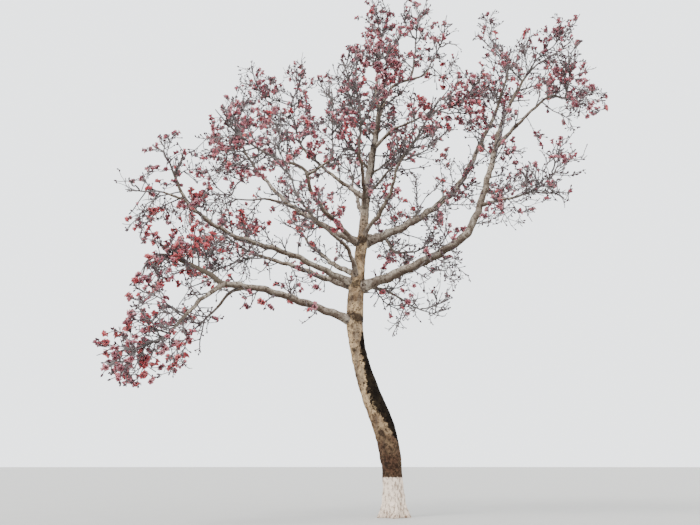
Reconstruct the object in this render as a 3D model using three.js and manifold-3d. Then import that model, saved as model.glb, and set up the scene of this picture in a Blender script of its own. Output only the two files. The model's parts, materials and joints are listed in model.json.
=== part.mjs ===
// A red silk cotton tree in bloom, leafless, about 21 m tall, in millimetres.
// +Z is up, +Y is away from the viewer and the origin is the middle of the flat cut under the trunk.
// Bearings are degrees from +X towards +Y, rises are degrees above level, and a run is one
// stretch of a limb: its length, the bearing and the rise of its heading.
import * as THREE from 'three';
import { mergeVertices } from 'three/addons/utils/BufferGeometryUtils.js';
import Module from 'manifold-3d';

const wasm = await Module();
wasm.setup();

// Clearance left where one solid meets the next, and the distance at which corners are one.
const gap = 0.3;
const weldDistance = 0.0001;

// Sides of the round sections and the longest step between their rings.
const trunkSides = 14;
const boughSides = 7;
const stemSides = 5;
const twigSides = 3;
const boughStep = 800;
const stemStep = 900;

// The trunk from the ground to its fork: height, lean in X and Y, and radius.
const trunkStations = [
  { height: 0, leanX: 0, leanY: 0, radius: 480 },
  { height: 300, leanX: 0, leanY: 0, radius: 395 },
  { height: 800, leanX: -10, leanY: 5, radius: 335 },
  { height: 1400, leanX: -30, leanY: 10, radius: 322 },
  { height: 2100, leanX: -105, leanY: 40, radius: 356 },
  { height: 2900, leanX: -300, leanY: 80, radius: 370 },
  { height: 4100, leanX: -750, leanY: 150, radius: 325 },
  { height: 5300, leanX: -1100, leanY: 210, radius: 270 },
  { height: 6300, leanX: -1245, leanY: 230, radius: 290 },
  { height: 7300, leanX: -1225, leanY: 220, radius: 300 },
  { height: 7950, leanX: -1165, leanY: 200, radius: 268 },
  { height: 8700, leanX: -1075, leanY: 170, radius: 205 },
  { height: 9500, leanX: -975, leanY: 120, radius: 215 },
  { height: 10300, leanX: -885, leanY: 80, radius: 166 },
  { height: 11300, leanX: -810, leanY: 40, radius: 160 },
  { height: 12800, leanX: -590, leanY: 10, radius: 132 },
  { height: 13900, leanX: -400, leanY: 0, radius: 106 },
  { height: 14900, leanX: -270, leanY: 0, radius: 86 },
];
const rootLobes = 5;
const rootLobeDepth = 0.13;
const rootLobeHeight = 450;

// The boughs. Each leaves its parent's axis at a height on the trunk or a share of a bough's
// length, or goes on from the parent's tip, and narrows from one radius to the other.
// A bough with a stem carries a mass of twigs that goes on from its tip along the stem's runs.
const boughs = [
  {
    name: 'bough_right', parent: 'trunk', height: 7730, radii: [180, 142],
    runs: [[1000, 347, 16], [800, 345, 20], [760, 344, 20], [1100, 343, 25], [700, 340, 33]],
  },
  {
    name: 'bough_right_upright', parent: 'bough_right', share: 1, radii: [141, 66],
    runs: [[300, 0, 50], [1050, 0, 66], [1450, 0, 72], [850, 0, 73], [1200, 32, 71], [1100, 24, 63]],
    stem: [[1600, 15, 61], [950, 9, 48], [900, 8, 38], [750, 7, 32]],
  },
  {
    name: 'bough_mid_right', parent: 'trunk', height: 9380, radii: [158, 76],
    runs: [
      [1050, 18, 28], [1000, 20, 30], [1100, 20, 35], [900, 17, 40],
      [950, 16, 44], [1500, 15, 59], [1200, 13, 64], [1250, 10, 62],
    ],
    stem: [[1400, 18, 69], [1200, 20, 70], [900, 60, 72], [1000, 150, 60]],
  },
  {
    name: 'bough_low_left', parent: 'trunk', height: 6500, radii: [145, 98],
    runs: [[1650, 204, 15], [1700, 209, 11], [900, 214, 1], [900, 222, -4]],
    stem: [[500, 214, 28], [800, 216, 17], [900, 216, 8], [400, 222, -35], [900, 250, -70]],
  },
  {
    name: 'bough_mid_left', parent: 'trunk', height: 9440, radii: [132, 64],
    runs: [[950, 158, 28], [1600, 157, 35], [1500, 154, 38], [1800, 156, 49]],
    stem: [[900, 157, 54], [1300, 152, 61], [1300, 122, 70], [1700, 60, 66]],
  },
  {
    name: 'bough_left', parent: 'trunk', height: 7860, radii: [122, 58],
    runs: [
      [1500, 193, 22], [1100, 192, 23], [1450, 192, 15],
      [1000, 192, 18], [1450, 194, 32], [750, 193, 53],
    ],
    stem: [[500, 207, 65], [700, 201, 65], [500, 206, 60], [300, 300, 62]],
    reach: 1500,
  },
  {
    name: 'bough_left_back', parent: 'trunk', height: 7760, radii: [118, 68],
    runs: [[1350, 154, 22], [1350, 156, 26], [1600, 156, 22]],
    stem: [[1350, 150, 27], [1900, 149, 37], [1200, 145, 36]],
  },
  {
    name: 'bough_back_left', parent: 'trunk', height: 8250, radii: [112, 60],
    runs: [[1700, 122, 26], [1600, 115, 31], [1300, 124, 35]],
    stem: [[1400, 112, 40], [1400, 126, 44], [1200, 114, 52]],
  },
  {
    name: 'bough_back_right', parent: 'trunk', height: 9650, radii: [110, 58],
    runs: [[1600, 62, 22], [1500, 57, 26], [1300, 66, 30]],
    stem: [[1300, 55, 36], [1300, 68, 42], [1200, 50, 50]],
  },
  {
    name: 'bough_back', parent: 'trunk', height: 10600, radii: [96, 54],
    runs: [[1400, 100, 34], [1300, 93, 39], [1100, 102, 44]],
    stem: [[1200, 90, 48], [1200, 102, 52], [1100, 86, 60]],
  },
  {
    name: 'bough_front_left', parent: 'trunk', height: 7980, radii: [92, 54],
    runs: [[900, 255, 44], [450, 245, 40], [500, 230, 28], [500, 232, 12]],
    stem: [[1100, 235, 17], [1000, 242, 22], [1200, 248, 34], [900, 236, 48]],
  },
  {
    name: 'bough_mid_front_left', parent: 'trunk', height: 9330, radii: [94, 60],
    runs: [[600, 218, 25], [500, 225, 34], [550, 220, 27], [850, 223, 31], [650, 232, 53], [450, 240, 61]],
    stem: [[400, 210, 22], [650, 210, 2], [1150, 209, 19], [900, 205, 33], [700, 200, 46]],
  },
  {
    name: 'bough_mid_front_fork', parent: 'bough_mid_front_left', share: 0.96, radii: [46, 34],
    runs: [[450, 344, 26], [500, 335, 26]],
    stem: [[400, 300, 52], [500, 262, 66], [1000, 275, 50], [600, 262, 40]],
    reach: 1700,
  },
  {
    name: 'bough_front_right', parent: 'trunk', height: 9520, radii: [92, 54],
    runs: [[500, 308, 50], [750, 317, 38], [650, 314, 48], [650, 305, 56]],
    stem: [[600, 306, 64], [1000, 318, 42], [1200, 302, 34], [1100, 312, 36]],
  },
  {
    name: 'bough_high_left', parent: 'trunk', height: 11220, radii: [86, 50],
    runs: [[1600, 152, 41], [1400, 149, 45], [700, 152, 46]],
    stem: [[900, 142, 58], [1200, 130, 70], [1200, 118, 72], [1600, 60, 66]],
  },
  {
    name: 'bough_front', parent: 'trunk', height: 10750, radii: [78, 46],
    runs: [[1300, 266, 32], [1200, 260, 38]],
    stem: [[1200, 272, 36], [1200, 260, 40], [1000, 270, 50]],
  },
  {
    name: 'bough_top_right', parent: 'trunk', height: 13300, radii: [70, 44],
    runs: [[1000, 342, 42], [900, 341, 16]],
    stem: [[1000, 342, 16], [900, 346, 10], [800, 0, 34]],
  },
  {
    name: 'bough_far_right', parent: 'bough_right_upright', share: 0.64, radii: [78, 54],
    runs: [[750, 345, 44], [1150, 343, 43]],
    stem: [[600, 345, 38], [450, 345, 20], [400, 335, -40], [650, 290, 58], [1100, 262, 66]],
    reach: 1700,
  },
  {
    name: 'bough_right_low', parent: 'bough_right_upright', share: 0.22, radii: [64, 46],
    runs: [[650, 328, 4], [500, 335, 0]],
    stem: [[950, 335, 12], [600, 328, 32], [500, 310, 50]],
    reach: 1600,
  },
  {
    name: 'bough_low_drooping', parent: 'bough_low_left', share: 0.985, radii: [76, 52],
    runs: [[900, 225, -40], [900, 228, -48]],
    stem: [[950, 223, -50], [850, 205, -30], [500, 208, -40]],
    reach: 1700,
  },
  {
    name: 'bough_low_back', parent: 'bough_low_left', share: 0.8, radii: [64, 44],
    runs: [[700, 155, -6], [800, 142, -34]],
    stem: [[1050, 151, -36], [700, 157, -38], [700, 165, -20]],
  },
  {
    name: 'bough_left_outer', parent: 'bough_left', share: 0.95, radii: [48, 36],
    runs: [[850, 210, 9]],
    stem: [[700, 207, -8], [600, 204, -3]],
    reach: 1100,
  },
  {
    name: 'bough_mid_left_low', parent: 'bough_mid_left', share: 0.66, radii: [58, 42],
    runs: [[500, 215, -4], [500, 196, 6]],
    stem: [[700, 188, -8], [700, 196, 4], [700, 180, 22]],
    reach: 1500,
  },
  {
    name: 'leader_left', parent: 'trunk', share: 1, radii: [84, 50],
    runs: [[800, 180, 82], [1100, 65, 81]],
    stem: [[1050, 62, 80], [1500, 31, 79], [1100, 17, 76]],
  },
  {
    name: 'leader_right', parent: 'trunk', height: 14650, radii: [66, 50],
    runs: [[1250, 0, 70], [450, 0, 50], [600, 0, 24]],
    stem: [[1150, 0, 77], [1400, 0, 84], [900, 10, 76]],
  },
  {
    name: 'leader_far_right', parent: 'leader_right', share: 0.94, radii: [40, 32],
    runs: [[800, 0, 20], [500, 0, 62]],
    stem: [[1100, 0, 65], [900, 5, 76], [600, 355, 78]],
    reach: 1400,
  },
];

// Small limbs that start at the trunk itself, as stems of their masses.
const trunkStems = [
  {
    name: 'right_drooping', height: 7760, radius: 66,
    stem: [[700, 42, 14], [900, 43, 0], [950, 47, -8], [1000, 47, -12], [1000, 42, -2], [600, 36, 25]],
  },
  {
    name: 'high_right', height: 11350, radius: 58,
    stem: [[800, 326, 36], [800, 340, 46], [900, 335, 40], [800, 320, 35]],
  },
  {
    name: 'high_back', height: 12150, radius: 56,
    stem: [[900, 40, 42], [1000, 32, 44], [1000, 45, 46], [900, 30, 42]],
  },
  {
    name: 'high_front', height: 12350, radius: 54,
    stem: [[800, 222, 38], [900, 212, 44], [900, 225, 48], [400, 210, 55]],
  },
  {
    name: 'top_left', height: 13800, radius: 54,
    stem: [[1400, 174, 55], [1250, 162, 74], [1100, 155, 78]],
  },
  {
    name: 'top_back', height: 13750, radius: 50,
    stem: [[900, 88, 42], [1000, 95, 48], [1100, 84, 56], [800, 90, 55]],
  },
  {
    name: 'top_front', height: 14050, radius: 50,
    stem: [[800, 280, 44], [900, 290, 54], [1000, 278, 60], [800, 290, 55]],
  },
];

// The rule by which a mass's twigs branch from its stem. Each twig turns on from the last, spreads
// from the stem and reaches out, both less towards the stem's tip, with some play in each.
const firstSeed = 1000;
const seedStep = 77;
const turnPerTwig = 137.5;
const turnPlay = [0, 40];
const twigsPerMetre = 1.03;
const firstTwig = 350;
const reach = 2000;
const reachLoss = 0.45;
const reachPlay = [0.8, 1.15];
const twigSegments = 2;
const twigSpread = 58;
const spreadLoss = 0.35;
const spreadPlay = [0.85, 1.15];
const twigLift = 0.16;
const twigWander = 0.42;
const twigRadii = [24, 12];
const clearance = 40;
const tipRadius = 18;

// The fork of a twig: where along the twig it starts, how it turns, and its share of the length.
const forkShare = 0.55;
const forkTurns = [60, 120];
const forkSpread = 50;
const forkLengths = [0.4, 0.6];
const forkSegments = 1;
const forkRadii = [17, 12];

// A blossom cluster: the radius and height of its cup, and how deep its root is sunk in the wood.
const cupRadius = 250;
const cupHeight = 235;
const cupHollow = 0.45;
const cupSides = 5;
const cupRoot = 35;
const cupSpacing = 560;

const woodMaterial = { color: 0x8f8373, roughness: 0.9, metalness: 0 };
const blossomMaterial = { color: 0xb2484a, roughness: 0.7, metalness: 0 };

const up = new THREE.Vector3(0, 0, 1);

function heading(bearing, rise) {
  const turn = THREE.MathUtils.degToRad(bearing);
  const climb = THREE.MathUtils.degToRad(rise);
  const flat = Math.cos(climb);
  return new THREE.Vector3(flat * Math.cos(turn), flat * Math.sin(turn), Math.sin(climb));
}

// A repeatable stream of numbers from 0 to 1.
function seededRandom(seed) {
  const multiplier = 16807;
  const modulus = 2147483647;
  let state = seed;
  return () => {
    state = (state * multiplier) % modulus;
    return state / modulus;
  };
}

function between([low, high], random) {
  return low + (high - low) * random();
}

// The sections of a limb: each has its centre, its heading, two directions across and a radius.
function sections(centres, radii, firstHeading) {
  const tooShort = 0.1;
  let side = null;
  return centres.map((centre, index) => {
    const before = centres[Math.max(index - 1, 0)];
    const after = centres[Math.min(index + 1, centres.length - 1)];
    const along = after.clone().sub(before).normalize();
    if (index === 0 && firstHeading) along.copy(firstHeading);
    if (!side) side = new THREE.Vector3(0, 1, 0).cross(along);
    if (side.length() < tooShort) side.set(1, 0, 0);
    side = side.clone().addScaledVector(along, -side.dot(along)).normalize();
    return { centre, along, side, across: side.clone().cross(along), radius: radii[index] };
  });
}

// Smooth centres from a start point along runs, with the radius shared out by length.
function limbSections(start, firstHeading, runs, radii, step) {
  const corners = [start.clone().addScaledVector(firstHeading, -runs[0][0]), start.clone()];
  for (const [length, bearing, rise] of runs) {
    corners.push(corners[corners.length - 1].clone().addScaledVector(heading(bearing, rise), length));
  }
  const curve = new THREE.CatmullRomCurve3(corners, false, 'catmullrom');
  const total = runs.reduce((sum, run) => sum + run[0], 0);
  const centres = [start.clone()];
  const widths = [radii[0]];
  let covered = 0;
  runs.forEach(([length], index) => {
    const divisions = Math.max(1, Math.round(length / step));
    for (let part = 1; part <= divisions; part += 1) {
      centres.push(curve.getPoint((1 + index + part / divisions) / (corners.length - 1)));
      const share = (covered + length * part / divisions) / total;
      widths.push(THREE.MathUtils.lerp(radii[0], radii[1], share));
    }
    covered += length;
  });
  return sections(centres, widths, firstHeading);
}

// A closed solid from a geometry whose shared vertices are merged.
function solidOf(geometry) {
  const bare = geometry.clone();
  bare.deleteAttribute('normal');
  bare.deleteAttribute('uv');
  const merged = mergeVertices(bare, weldDistance);
  const corners = merged.index.array;
  const kept = [];
  for (let index = 0; index < corners.length; index += 3) {
    const [a, b, c] = corners.slice(index, index + 3);
    if (a !== b && b !== c && c !== a) kept.push(a, b, c);
  }
  return new wasm.Manifold(new wasm.Mesh({
    numProp: 3,
    vertProperties: new Float32Array(merged.attributes.position.array),
    triVerts: new Uint32Array(kept),
  }));
}

// A cylinder bent onto a limb's sections; grow widens and lengthens it, lobe shapes its outline.
function tube(limb, sides, grow = 0, lobe = () => 1) {
  const geometry = new THREE.CylinderGeometry(1, 1, 1, sides, limb.length - 1);
  const place = geometry.attributes.position;
  const point = new THREE.Vector3();
  for (let index = 0; index < place.count; index += 1) {
    point.fromBufferAttribute(place, index);
    const ring = Math.round((point.y + 0.5) * (limb.length - 1));
    const section = limb[ring];
    const end = Number(ring === limb.length - 1) - Number(ring === 0);
    const width = section.radius * lobe(Math.atan2(point.z, point.x), section.centre.z) + grow;
    const placed = section.centre.clone().addScaledVector(section.along, end * grow);
    placed.addScaledVector(section.side, width * point.x);
    placed.addScaledVector(section.across, width * point.z);
    place.setXYZ(index, placed.x, placed.y, placed.z);
  }
  return solidOf(geometry);
}

function largestBody(solid) {
  return solid.decompose().reduce((best, body) => (body.volume() > best.volume() ? body : best));
}

function boxesMeet(first, second) {
  const a = first.boundingBox();
  const b = second.boundingBox();
  return [0, 1, 2].every((axis) => a.min[axis] < b.max[axis] && b.min[axis] < a.max[axis]);
}

function cutBy(solid, cutters) {
  const near = cutters.filter((cutter) => boxesMeet(solid, cutter));
  return largestBody(near.reduce((rest, cutter) => rest.subtract(cutter), solid));
}

function lengthOf(limb) {
  return limb.slice(1).reduce((sum, section, index) => (
    sum + section.centre.distanceTo(limb[index].centre)
  ), 0);
}

// The point that lies a share of the way along a limb.
function pointAlong(limb, share) {
  let left = share * lengthOf(limb);
  let index = 1;
  let step = limb[1].centre.distanceTo(limb[0].centre);
  while (index < limb.length - 1 && left > step) {
    left -= step;
    index += 1;
    step = limb[index].centre.distanceTo(limb[index - 1].centre);
  }
  return limb[index - 1].centre.clone().lerp(limb[index].centre, left / step);
}

// The point at a height on a standing limb.
function pointAtHeight(limb, height) {
  const index = limb.findIndex((section) => section.centre.z >= height);
  const low = limb[index - 1].centre;
  const high = limb[index].centre;
  return low.clone().lerp(high, (height - low.z) / (high.z - low.z));
}

// The least distance from a point to a limb's axis, or to its skin.
function distanceTo(point, limb, toSkin) {
  let best = Infinity;
  for (let index = 1; index < limb.length; index += 1) {
    const from = limb[index - 1];
    const to = limb[index];
    const run = to.centre.clone().sub(from.centre);
    const away = point.clone().sub(from.centre);
    const part = THREE.MathUtils.clamp(away.dot(run) / run.lengthSq(), 0, 1);
    const width = toSkin ? THREE.MathUtils.lerp(from.radius, to.radius, part) : 0;
    best = Math.min(best, away.addScaledVector(run, -part).length() - width);
  }
  return best;
}

// The trunk.
const trunkCurve = new THREE.CatmullRomCurve3(
  trunkStations.map((station) => new THREE.Vector3(station.leanX, station.leanY, station.height)),
  false,
  'catmullrom',
);
const trunkCentres = [];
const trunkRadii = [];
trunkStations.forEach((station, index) => {
  trunkCentres.push(trunkCurve.getPoint(index / (trunkStations.length - 1)));
  trunkRadii.push(station.radius);
  if (index < trunkStations.length - 1) {
    trunkCentres.push(trunkCurve.getPoint((index + 0.5) / (trunkStations.length - 1)));
    trunkRadii.push((station.radius + trunkStations[index + 1].radius) / 2);
  }
});
const trunkLimb = sections(trunkCentres, trunkRadii, up);
const trunkLobe = (angle, height) => (
  1 + rootLobeDepth * Math.exp(-height / rootLobeHeight) * Math.cos(rootLobes * angle)
);
const trunkSolid = tube(trunkLimb, trunkSides, 0, trunkLobe);
const grown = { trunk: tube(trunkLimb, trunkSides, gap, trunkLobe) };
const limbs = { trunk: trunkLimb };

// Where a limb or stem starts: clear of its parent's tip, or on its parent's axis.
function startOf(parent, share, height, runs) {
  if (share === 1) {
    const tip = parent[parent.length - 1];
    return { start: tip.centre.clone().addScaledVector(tip.along, gap), first: tip.along.clone() };
  }
  const [, bearing, rise] = runs[0];
  const start = height ? pointAtHeight(parent, height) : pointAlong(parent, share);
  return { start, first: heading(bearing, rise) };
}

const nodes = [{ name: 'trunk', solid: trunkSolid, material: woodMaterial }];
for (const bough of boughs) {
  const { start, first } = startOf(limbs[bough.parent], bough.share, bough.height, bough.runs);
  const limb = limbSections(start, first, bough.runs, bough.radii, boughStep);
  limbs[bough.name] = limb;
  const cutters = Object.keys(grown).filter((name) => !(bough.share === 1 && name === bough.parent));
  const solid = cutBy(tube(limb, boughSides), cutters.map((name) => grown[name]));
  grown[bough.name] = tube(limb, boughSides, gap);
  nodes.push({ name: bough.name, solid, material: woodMaterial });
}

// The masses' stems: one from the tip of each bough that carries a mass, and the trunk's own.
const masses = boughs.filter((bough) => bough.stem).map((bough) => {
  const parent = limbs[bough.name];
  const { start, first } = startOf(parent, 1, undefined, bough.stem);
  const width = parent[parent.length - 1].radius;
  return {
    name: bough.name.replace('bough_', 'twigs_').replace('leader_', 'twigs_leader_'),
    parent: bough.name,
    reach: bough.reach ?? reach,
    stem: limbSections(start, first, bough.stem, [width, tipRadius], stemStep),
  };
});
for (const small of trunkStems) {
  const { start, first } = startOf(limbs.trunk, undefined, small.height, small.stem);
  masses.push({
    name: `twigs_${small.name}`,
    parent: null,
    reach,
    stem: limbSections(start, first, small.stem, [small.radius, tipRadius], stemStep),
  });
}

// Whether a ball keeps to a mass's own space, clear of every limb and nearest to its own stem.
function isFree(point, radius, mass, reachOf) {
  const own = distanceTo(point, mass.stem, false);
  if (own > reachOf) return false;
  const room = radius + clearance;
  if (point.z < room) return false;
  if (Object.values(limbs).some((limb) => distanceTo(point, limb, true) < room)) return false;
  return masses.every((other) => (
    other === mass || distanceTo(point, other.stem, false) - own > 2 * room
  ));
}

// A twig's centres: it sets out from a point, wanders and lifts towards the light.
function twigCentres(start, first, length, segments, random) {
  const centres = [start.clone()];
  const way = first.clone();
  for (let index = 0; index < segments; index += 1) {
    way.x += twigWander * (random() - 0.5);
    way.y += twigWander * (random() - 0.5);
    way.z += twigWander * (random() - 0.5) + twigLift;
    way.normalize();
    centres.push(centres[index].clone().addScaledVector(way, length / segments));
  }
  return centres;
}

// A heading turned away from a limb's own by a spread, on the side given by a turn round it.
function branchHeading(section, turn, spread) {
  const round = THREE.MathUtils.degToRad(turn);
  const off = THREE.MathUtils.degToRad(spread);
  return section.along.clone().multiplyScalar(Math.cos(off))
    .addScaledVector(section.side, Math.sin(off) * Math.cos(round))
    .addScaledVector(section.across, Math.sin(off) * Math.sin(round));
}

function sectionOn(limb, share) {
  const centre = pointAlong(limb, share);
  const nearest = limb[Math.min(limb.length - 1, Math.round(share * (limb.length - 1)))];
  return { ...nearest, centre };
}

// Keeps the part of a twig that stays in its mass's space, or null where none of it does.
function keepFree(centres, mass) {
  const shares = [1 / 3, 2 / 3, 1];
  let kept = 1;
  while (kept < centres.length) {
    const from = centres[kept - 1];
    const to = centres[kept];
    const checks = shares.map((share) => from.clone().lerp(to, share));
    if (!checks.every((point) => isFree(point, twigRadii[0], mass, mass.reach))) break;
    kept += 1;
  }
  return kept > 1 ? centres.slice(0, kept) : null;
}

function twigLimb(centres, [first, last]) {
  const count = centres.length - 1;
  const widths = centres.map((centre, index) => THREE.MathUtils.lerp(first, last, index / count));
  return sections(centres, widths);
}

function growTwigs(mass, random) {
  const twigs = [];
  const length = lengthOf(mass.stem);
  const count = Math.round((length - firstTwig) / 1000 * twigsPerMetre);
  for (let index = 0; index < count; index += 1) {
    const share = (firstTwig + (index + 0.5) * (length - firstTwig) / count) / length;
    const section = sectionOn(mass.stem, share);
    const turn = index * turnPerTwig + between(turnPlay, random);
    const spread = twigSpread * (1 - spreadLoss * share) * between(spreadPlay, random);
    const span = mass.reach * (1 - reachLoss * share) * between(reachPlay, random);
    const way = branchHeading(section, turn, spread);
    const centres = twigCentres(section.centre, way, span, twigSegments, random);
    const free = keepFree(centres, mass);
    const base = sectionOn(twigLimb(free ?? centres, twigRadii), forkShare);
    const forkWay = branchHeading(base, between(forkTurns, random), forkSpread);
    const forkSpan = span * between(forkLengths, random);
    const forkCentres = twigCentres(base.centre, forkWay, forkSpan, forkSegments, random);
    if (free) {
      twigs.push(twigLimb(free, twigRadii));
      const forkFree = keepFree(forkCentres, mass);
      if (forkFree) twigs.push(twigLimb(forkFree, forkRadii));
    }
  }
  return twigs;
}

// A blossom cluster as a five-sided cup that opens along a heading from a root sunk in the wood.
function blossomSolid(root, way) {
  const profile = [
    new THREE.Vector2(0, -cupRoot),
    new THREE.Vector2(cupRadius, cupHeight),
    new THREE.Vector2(0, cupHeight * cupHollow),
  ];
  const geometry = new THREE.LatheGeometry(profile, cupSides);
  geometry.applyQuaternion(new THREE.Quaternion().setFromUnitVectors(new THREE.Vector3(0, 1, 0), way));
  geometry.translate(root.x, root.y, root.z);
  return solidOf(geometry);
}

masses.forEach((mass, number) => {
  const random = seededRandom(firstSeed + seedStep * number);
  let solid = tube(mass.stem, stemSides);
  const tips = [mass.stem[mass.stem.length - 1]];
  for (const twig of growTwigs(mass, random)) {
    solid = solid.add(tube(twig, twigSides));
    tips.push(twig[twig.length - 1]);
  }
  const middles = [];
  for (const tip of tips) {
    const middle = tip.centre.clone().addScaledVector(tip.along, cupHeight / 2);
    const crowded = middles.some((other) => other.distanceTo(middle) < cupSpacing);
    if (!crowded && isFree(middle, cupRadius, mass, mass.reach + cupHeight)) {
      solid = solid.add(blossomSolid(tip.centre, tip.along));
      middles.push(middle);
    }
  }
  const cutters = Object.keys(grown).filter((name) => name !== mass.parent);
  nodes.push({
    name: mass.name,
    solid: cutBy(solid, cutters.map((name) => grown[name])),
    material: blossomMaterial,
  });
});

function meshOf({ name, solid, material }) {
  const { vertProperties, triVerts } = solid.getMesh();
  const geometry = new THREE.BufferGeometry();
  geometry.setAttribute('position', new THREE.BufferAttribute(new Float32Array(vertProperties), 3));
  geometry.setIndex(new THREE.BufferAttribute(new Uint32Array(triVerts), 1));
  geometry.computeVertexNormals();
  const mesh = new THREE.Mesh(geometry, new THREE.MeshStandardMaterial(material));
  mesh.name = name;
  return mesh;
}

const tree = new THREE.Group();
nodes.forEach((node) => tree.add(meshOf(node)));
export default tree;
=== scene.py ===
import json
import math

import bpy
import numpy as np
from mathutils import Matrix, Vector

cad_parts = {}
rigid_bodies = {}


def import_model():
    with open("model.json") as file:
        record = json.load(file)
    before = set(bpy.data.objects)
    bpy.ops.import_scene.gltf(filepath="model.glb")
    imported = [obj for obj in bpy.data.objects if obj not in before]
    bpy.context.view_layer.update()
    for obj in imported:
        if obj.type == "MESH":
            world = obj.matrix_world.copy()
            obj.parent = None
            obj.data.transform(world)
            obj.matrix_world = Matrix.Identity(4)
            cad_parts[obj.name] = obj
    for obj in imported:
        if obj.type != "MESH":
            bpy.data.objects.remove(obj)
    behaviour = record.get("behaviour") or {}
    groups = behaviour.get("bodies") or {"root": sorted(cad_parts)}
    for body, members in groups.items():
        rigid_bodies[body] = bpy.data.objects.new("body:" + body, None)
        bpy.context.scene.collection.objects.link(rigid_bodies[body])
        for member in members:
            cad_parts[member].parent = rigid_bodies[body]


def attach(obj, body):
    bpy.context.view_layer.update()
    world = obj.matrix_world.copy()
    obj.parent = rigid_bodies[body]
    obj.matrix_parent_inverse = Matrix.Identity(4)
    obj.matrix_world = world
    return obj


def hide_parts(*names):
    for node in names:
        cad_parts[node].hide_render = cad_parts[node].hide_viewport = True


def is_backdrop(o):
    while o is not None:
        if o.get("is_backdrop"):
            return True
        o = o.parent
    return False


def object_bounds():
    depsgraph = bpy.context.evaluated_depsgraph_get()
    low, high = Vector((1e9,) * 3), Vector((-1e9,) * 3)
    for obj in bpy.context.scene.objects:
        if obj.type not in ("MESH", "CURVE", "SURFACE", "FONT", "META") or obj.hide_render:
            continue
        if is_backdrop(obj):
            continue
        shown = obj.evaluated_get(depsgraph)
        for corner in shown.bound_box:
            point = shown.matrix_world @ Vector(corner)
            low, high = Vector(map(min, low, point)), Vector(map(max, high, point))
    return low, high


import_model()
cadBox = [np.array(corner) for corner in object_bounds()]

# The camera is held at eye height and looks up into the crown.
cameraSetup = {"place": (-1.42, -22.0, 1.6), "tilt": 17.8, "lens": 32.5}
bpy.ops.object.camera_add(
    location=cameraSetup["place"],
    rotation=(math.radians(90 + cameraSetup["tilt"]), 0, 0),
)
bpy.context.object.data.lens = cameraSetup["lens"]
bpy.context.scene.camera = bpy.context.object
print("camera placed")

# Lengths are metres. A bearing is degrees from +X towards +Y, a rise is degrees above level,
# and a run is a stretch of a limb: its length, bearing and rise. The stations and the limbs' numbers
# are those of part.mjs, written out in metres by a scratch script.
trunkPiece = {
    # height, x, y and radius
    "stations": (
        (0, 0, 0, 0.48),
        (0.3, 0, 0, 0.395),
        (0.8, -0.01, 0.005, 0.335),
        (1.4, -0.03, 0.01, 0.322),
        (2.1, -0.105, 0.04, 0.356),
        (2.9, -0.3, 0.08, 0.37),
        (4.1, -0.75, 0.15, 0.325),
        (5.3, -1.1, 0.21, 0.27),
        (6.3, -1.245, 0.23, 0.29),
        (7.3, -1.225, 0.22, 0.3),
        (7.95, -1.165, 0.2, 0.268),
        (8.7, -1.075, 0.17, 0.205),
        (9.5, -0.975, 0.12, 0.215),
        (10.3, -0.885, 0.08, 0.166),
        (11.3, -0.81, 0.04, 0.16),
        (12.8, -0.59, 0.01, 0.132),
        (13.9, -0.4, 0, 0.106),
        (14.9, -0.27, 0, 0.086),
    ),
    "lobes": 5, "lobeTurn": 18, "lobeDepth": 0.22, "lobeHeight": 0.42, "flatCut": 0.02,
    "ringStep": 0.036, "sides": 96, "partsPerStation": 12, "smoothed": 13,
    # height and size of the ring scars, then how wavy, how lumpy and how tall they are
    "scars": ((6.66, 0.04), (7.9, 0.05), (9.5, 0.05), (11.3, 0.04), (13.35, 0.03)),
    "scarWave": 0.06, "scarLumps": 0.7, "scarRise": 0.13,
    # height, bearing and size of the knots, then their lump and the pit in it
    "knots": ((6.6, 288, 0.1), (5.45, 236, 0.065), (5.56, 304, 0.06), (4.05, 258, 0.075), (2.62, 249, 0.085),
              (1.66, 236, 0.05), (9.45, 282, 0.06), (7.86, 262, 0.055), (10.3, 250, 0.045), (3.4, 60, 0.08),
              (5.9, 110, 0.08), (4.6, 160, 0.06), (8.6, 70, 0.06)),
    "knotLump": 0.55, "knotPit": 0.45, "pitWidth": 0.42,
    "reliefs": ("trunkLumps", "trunkFurrows", "trunkGrain"),
}

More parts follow.
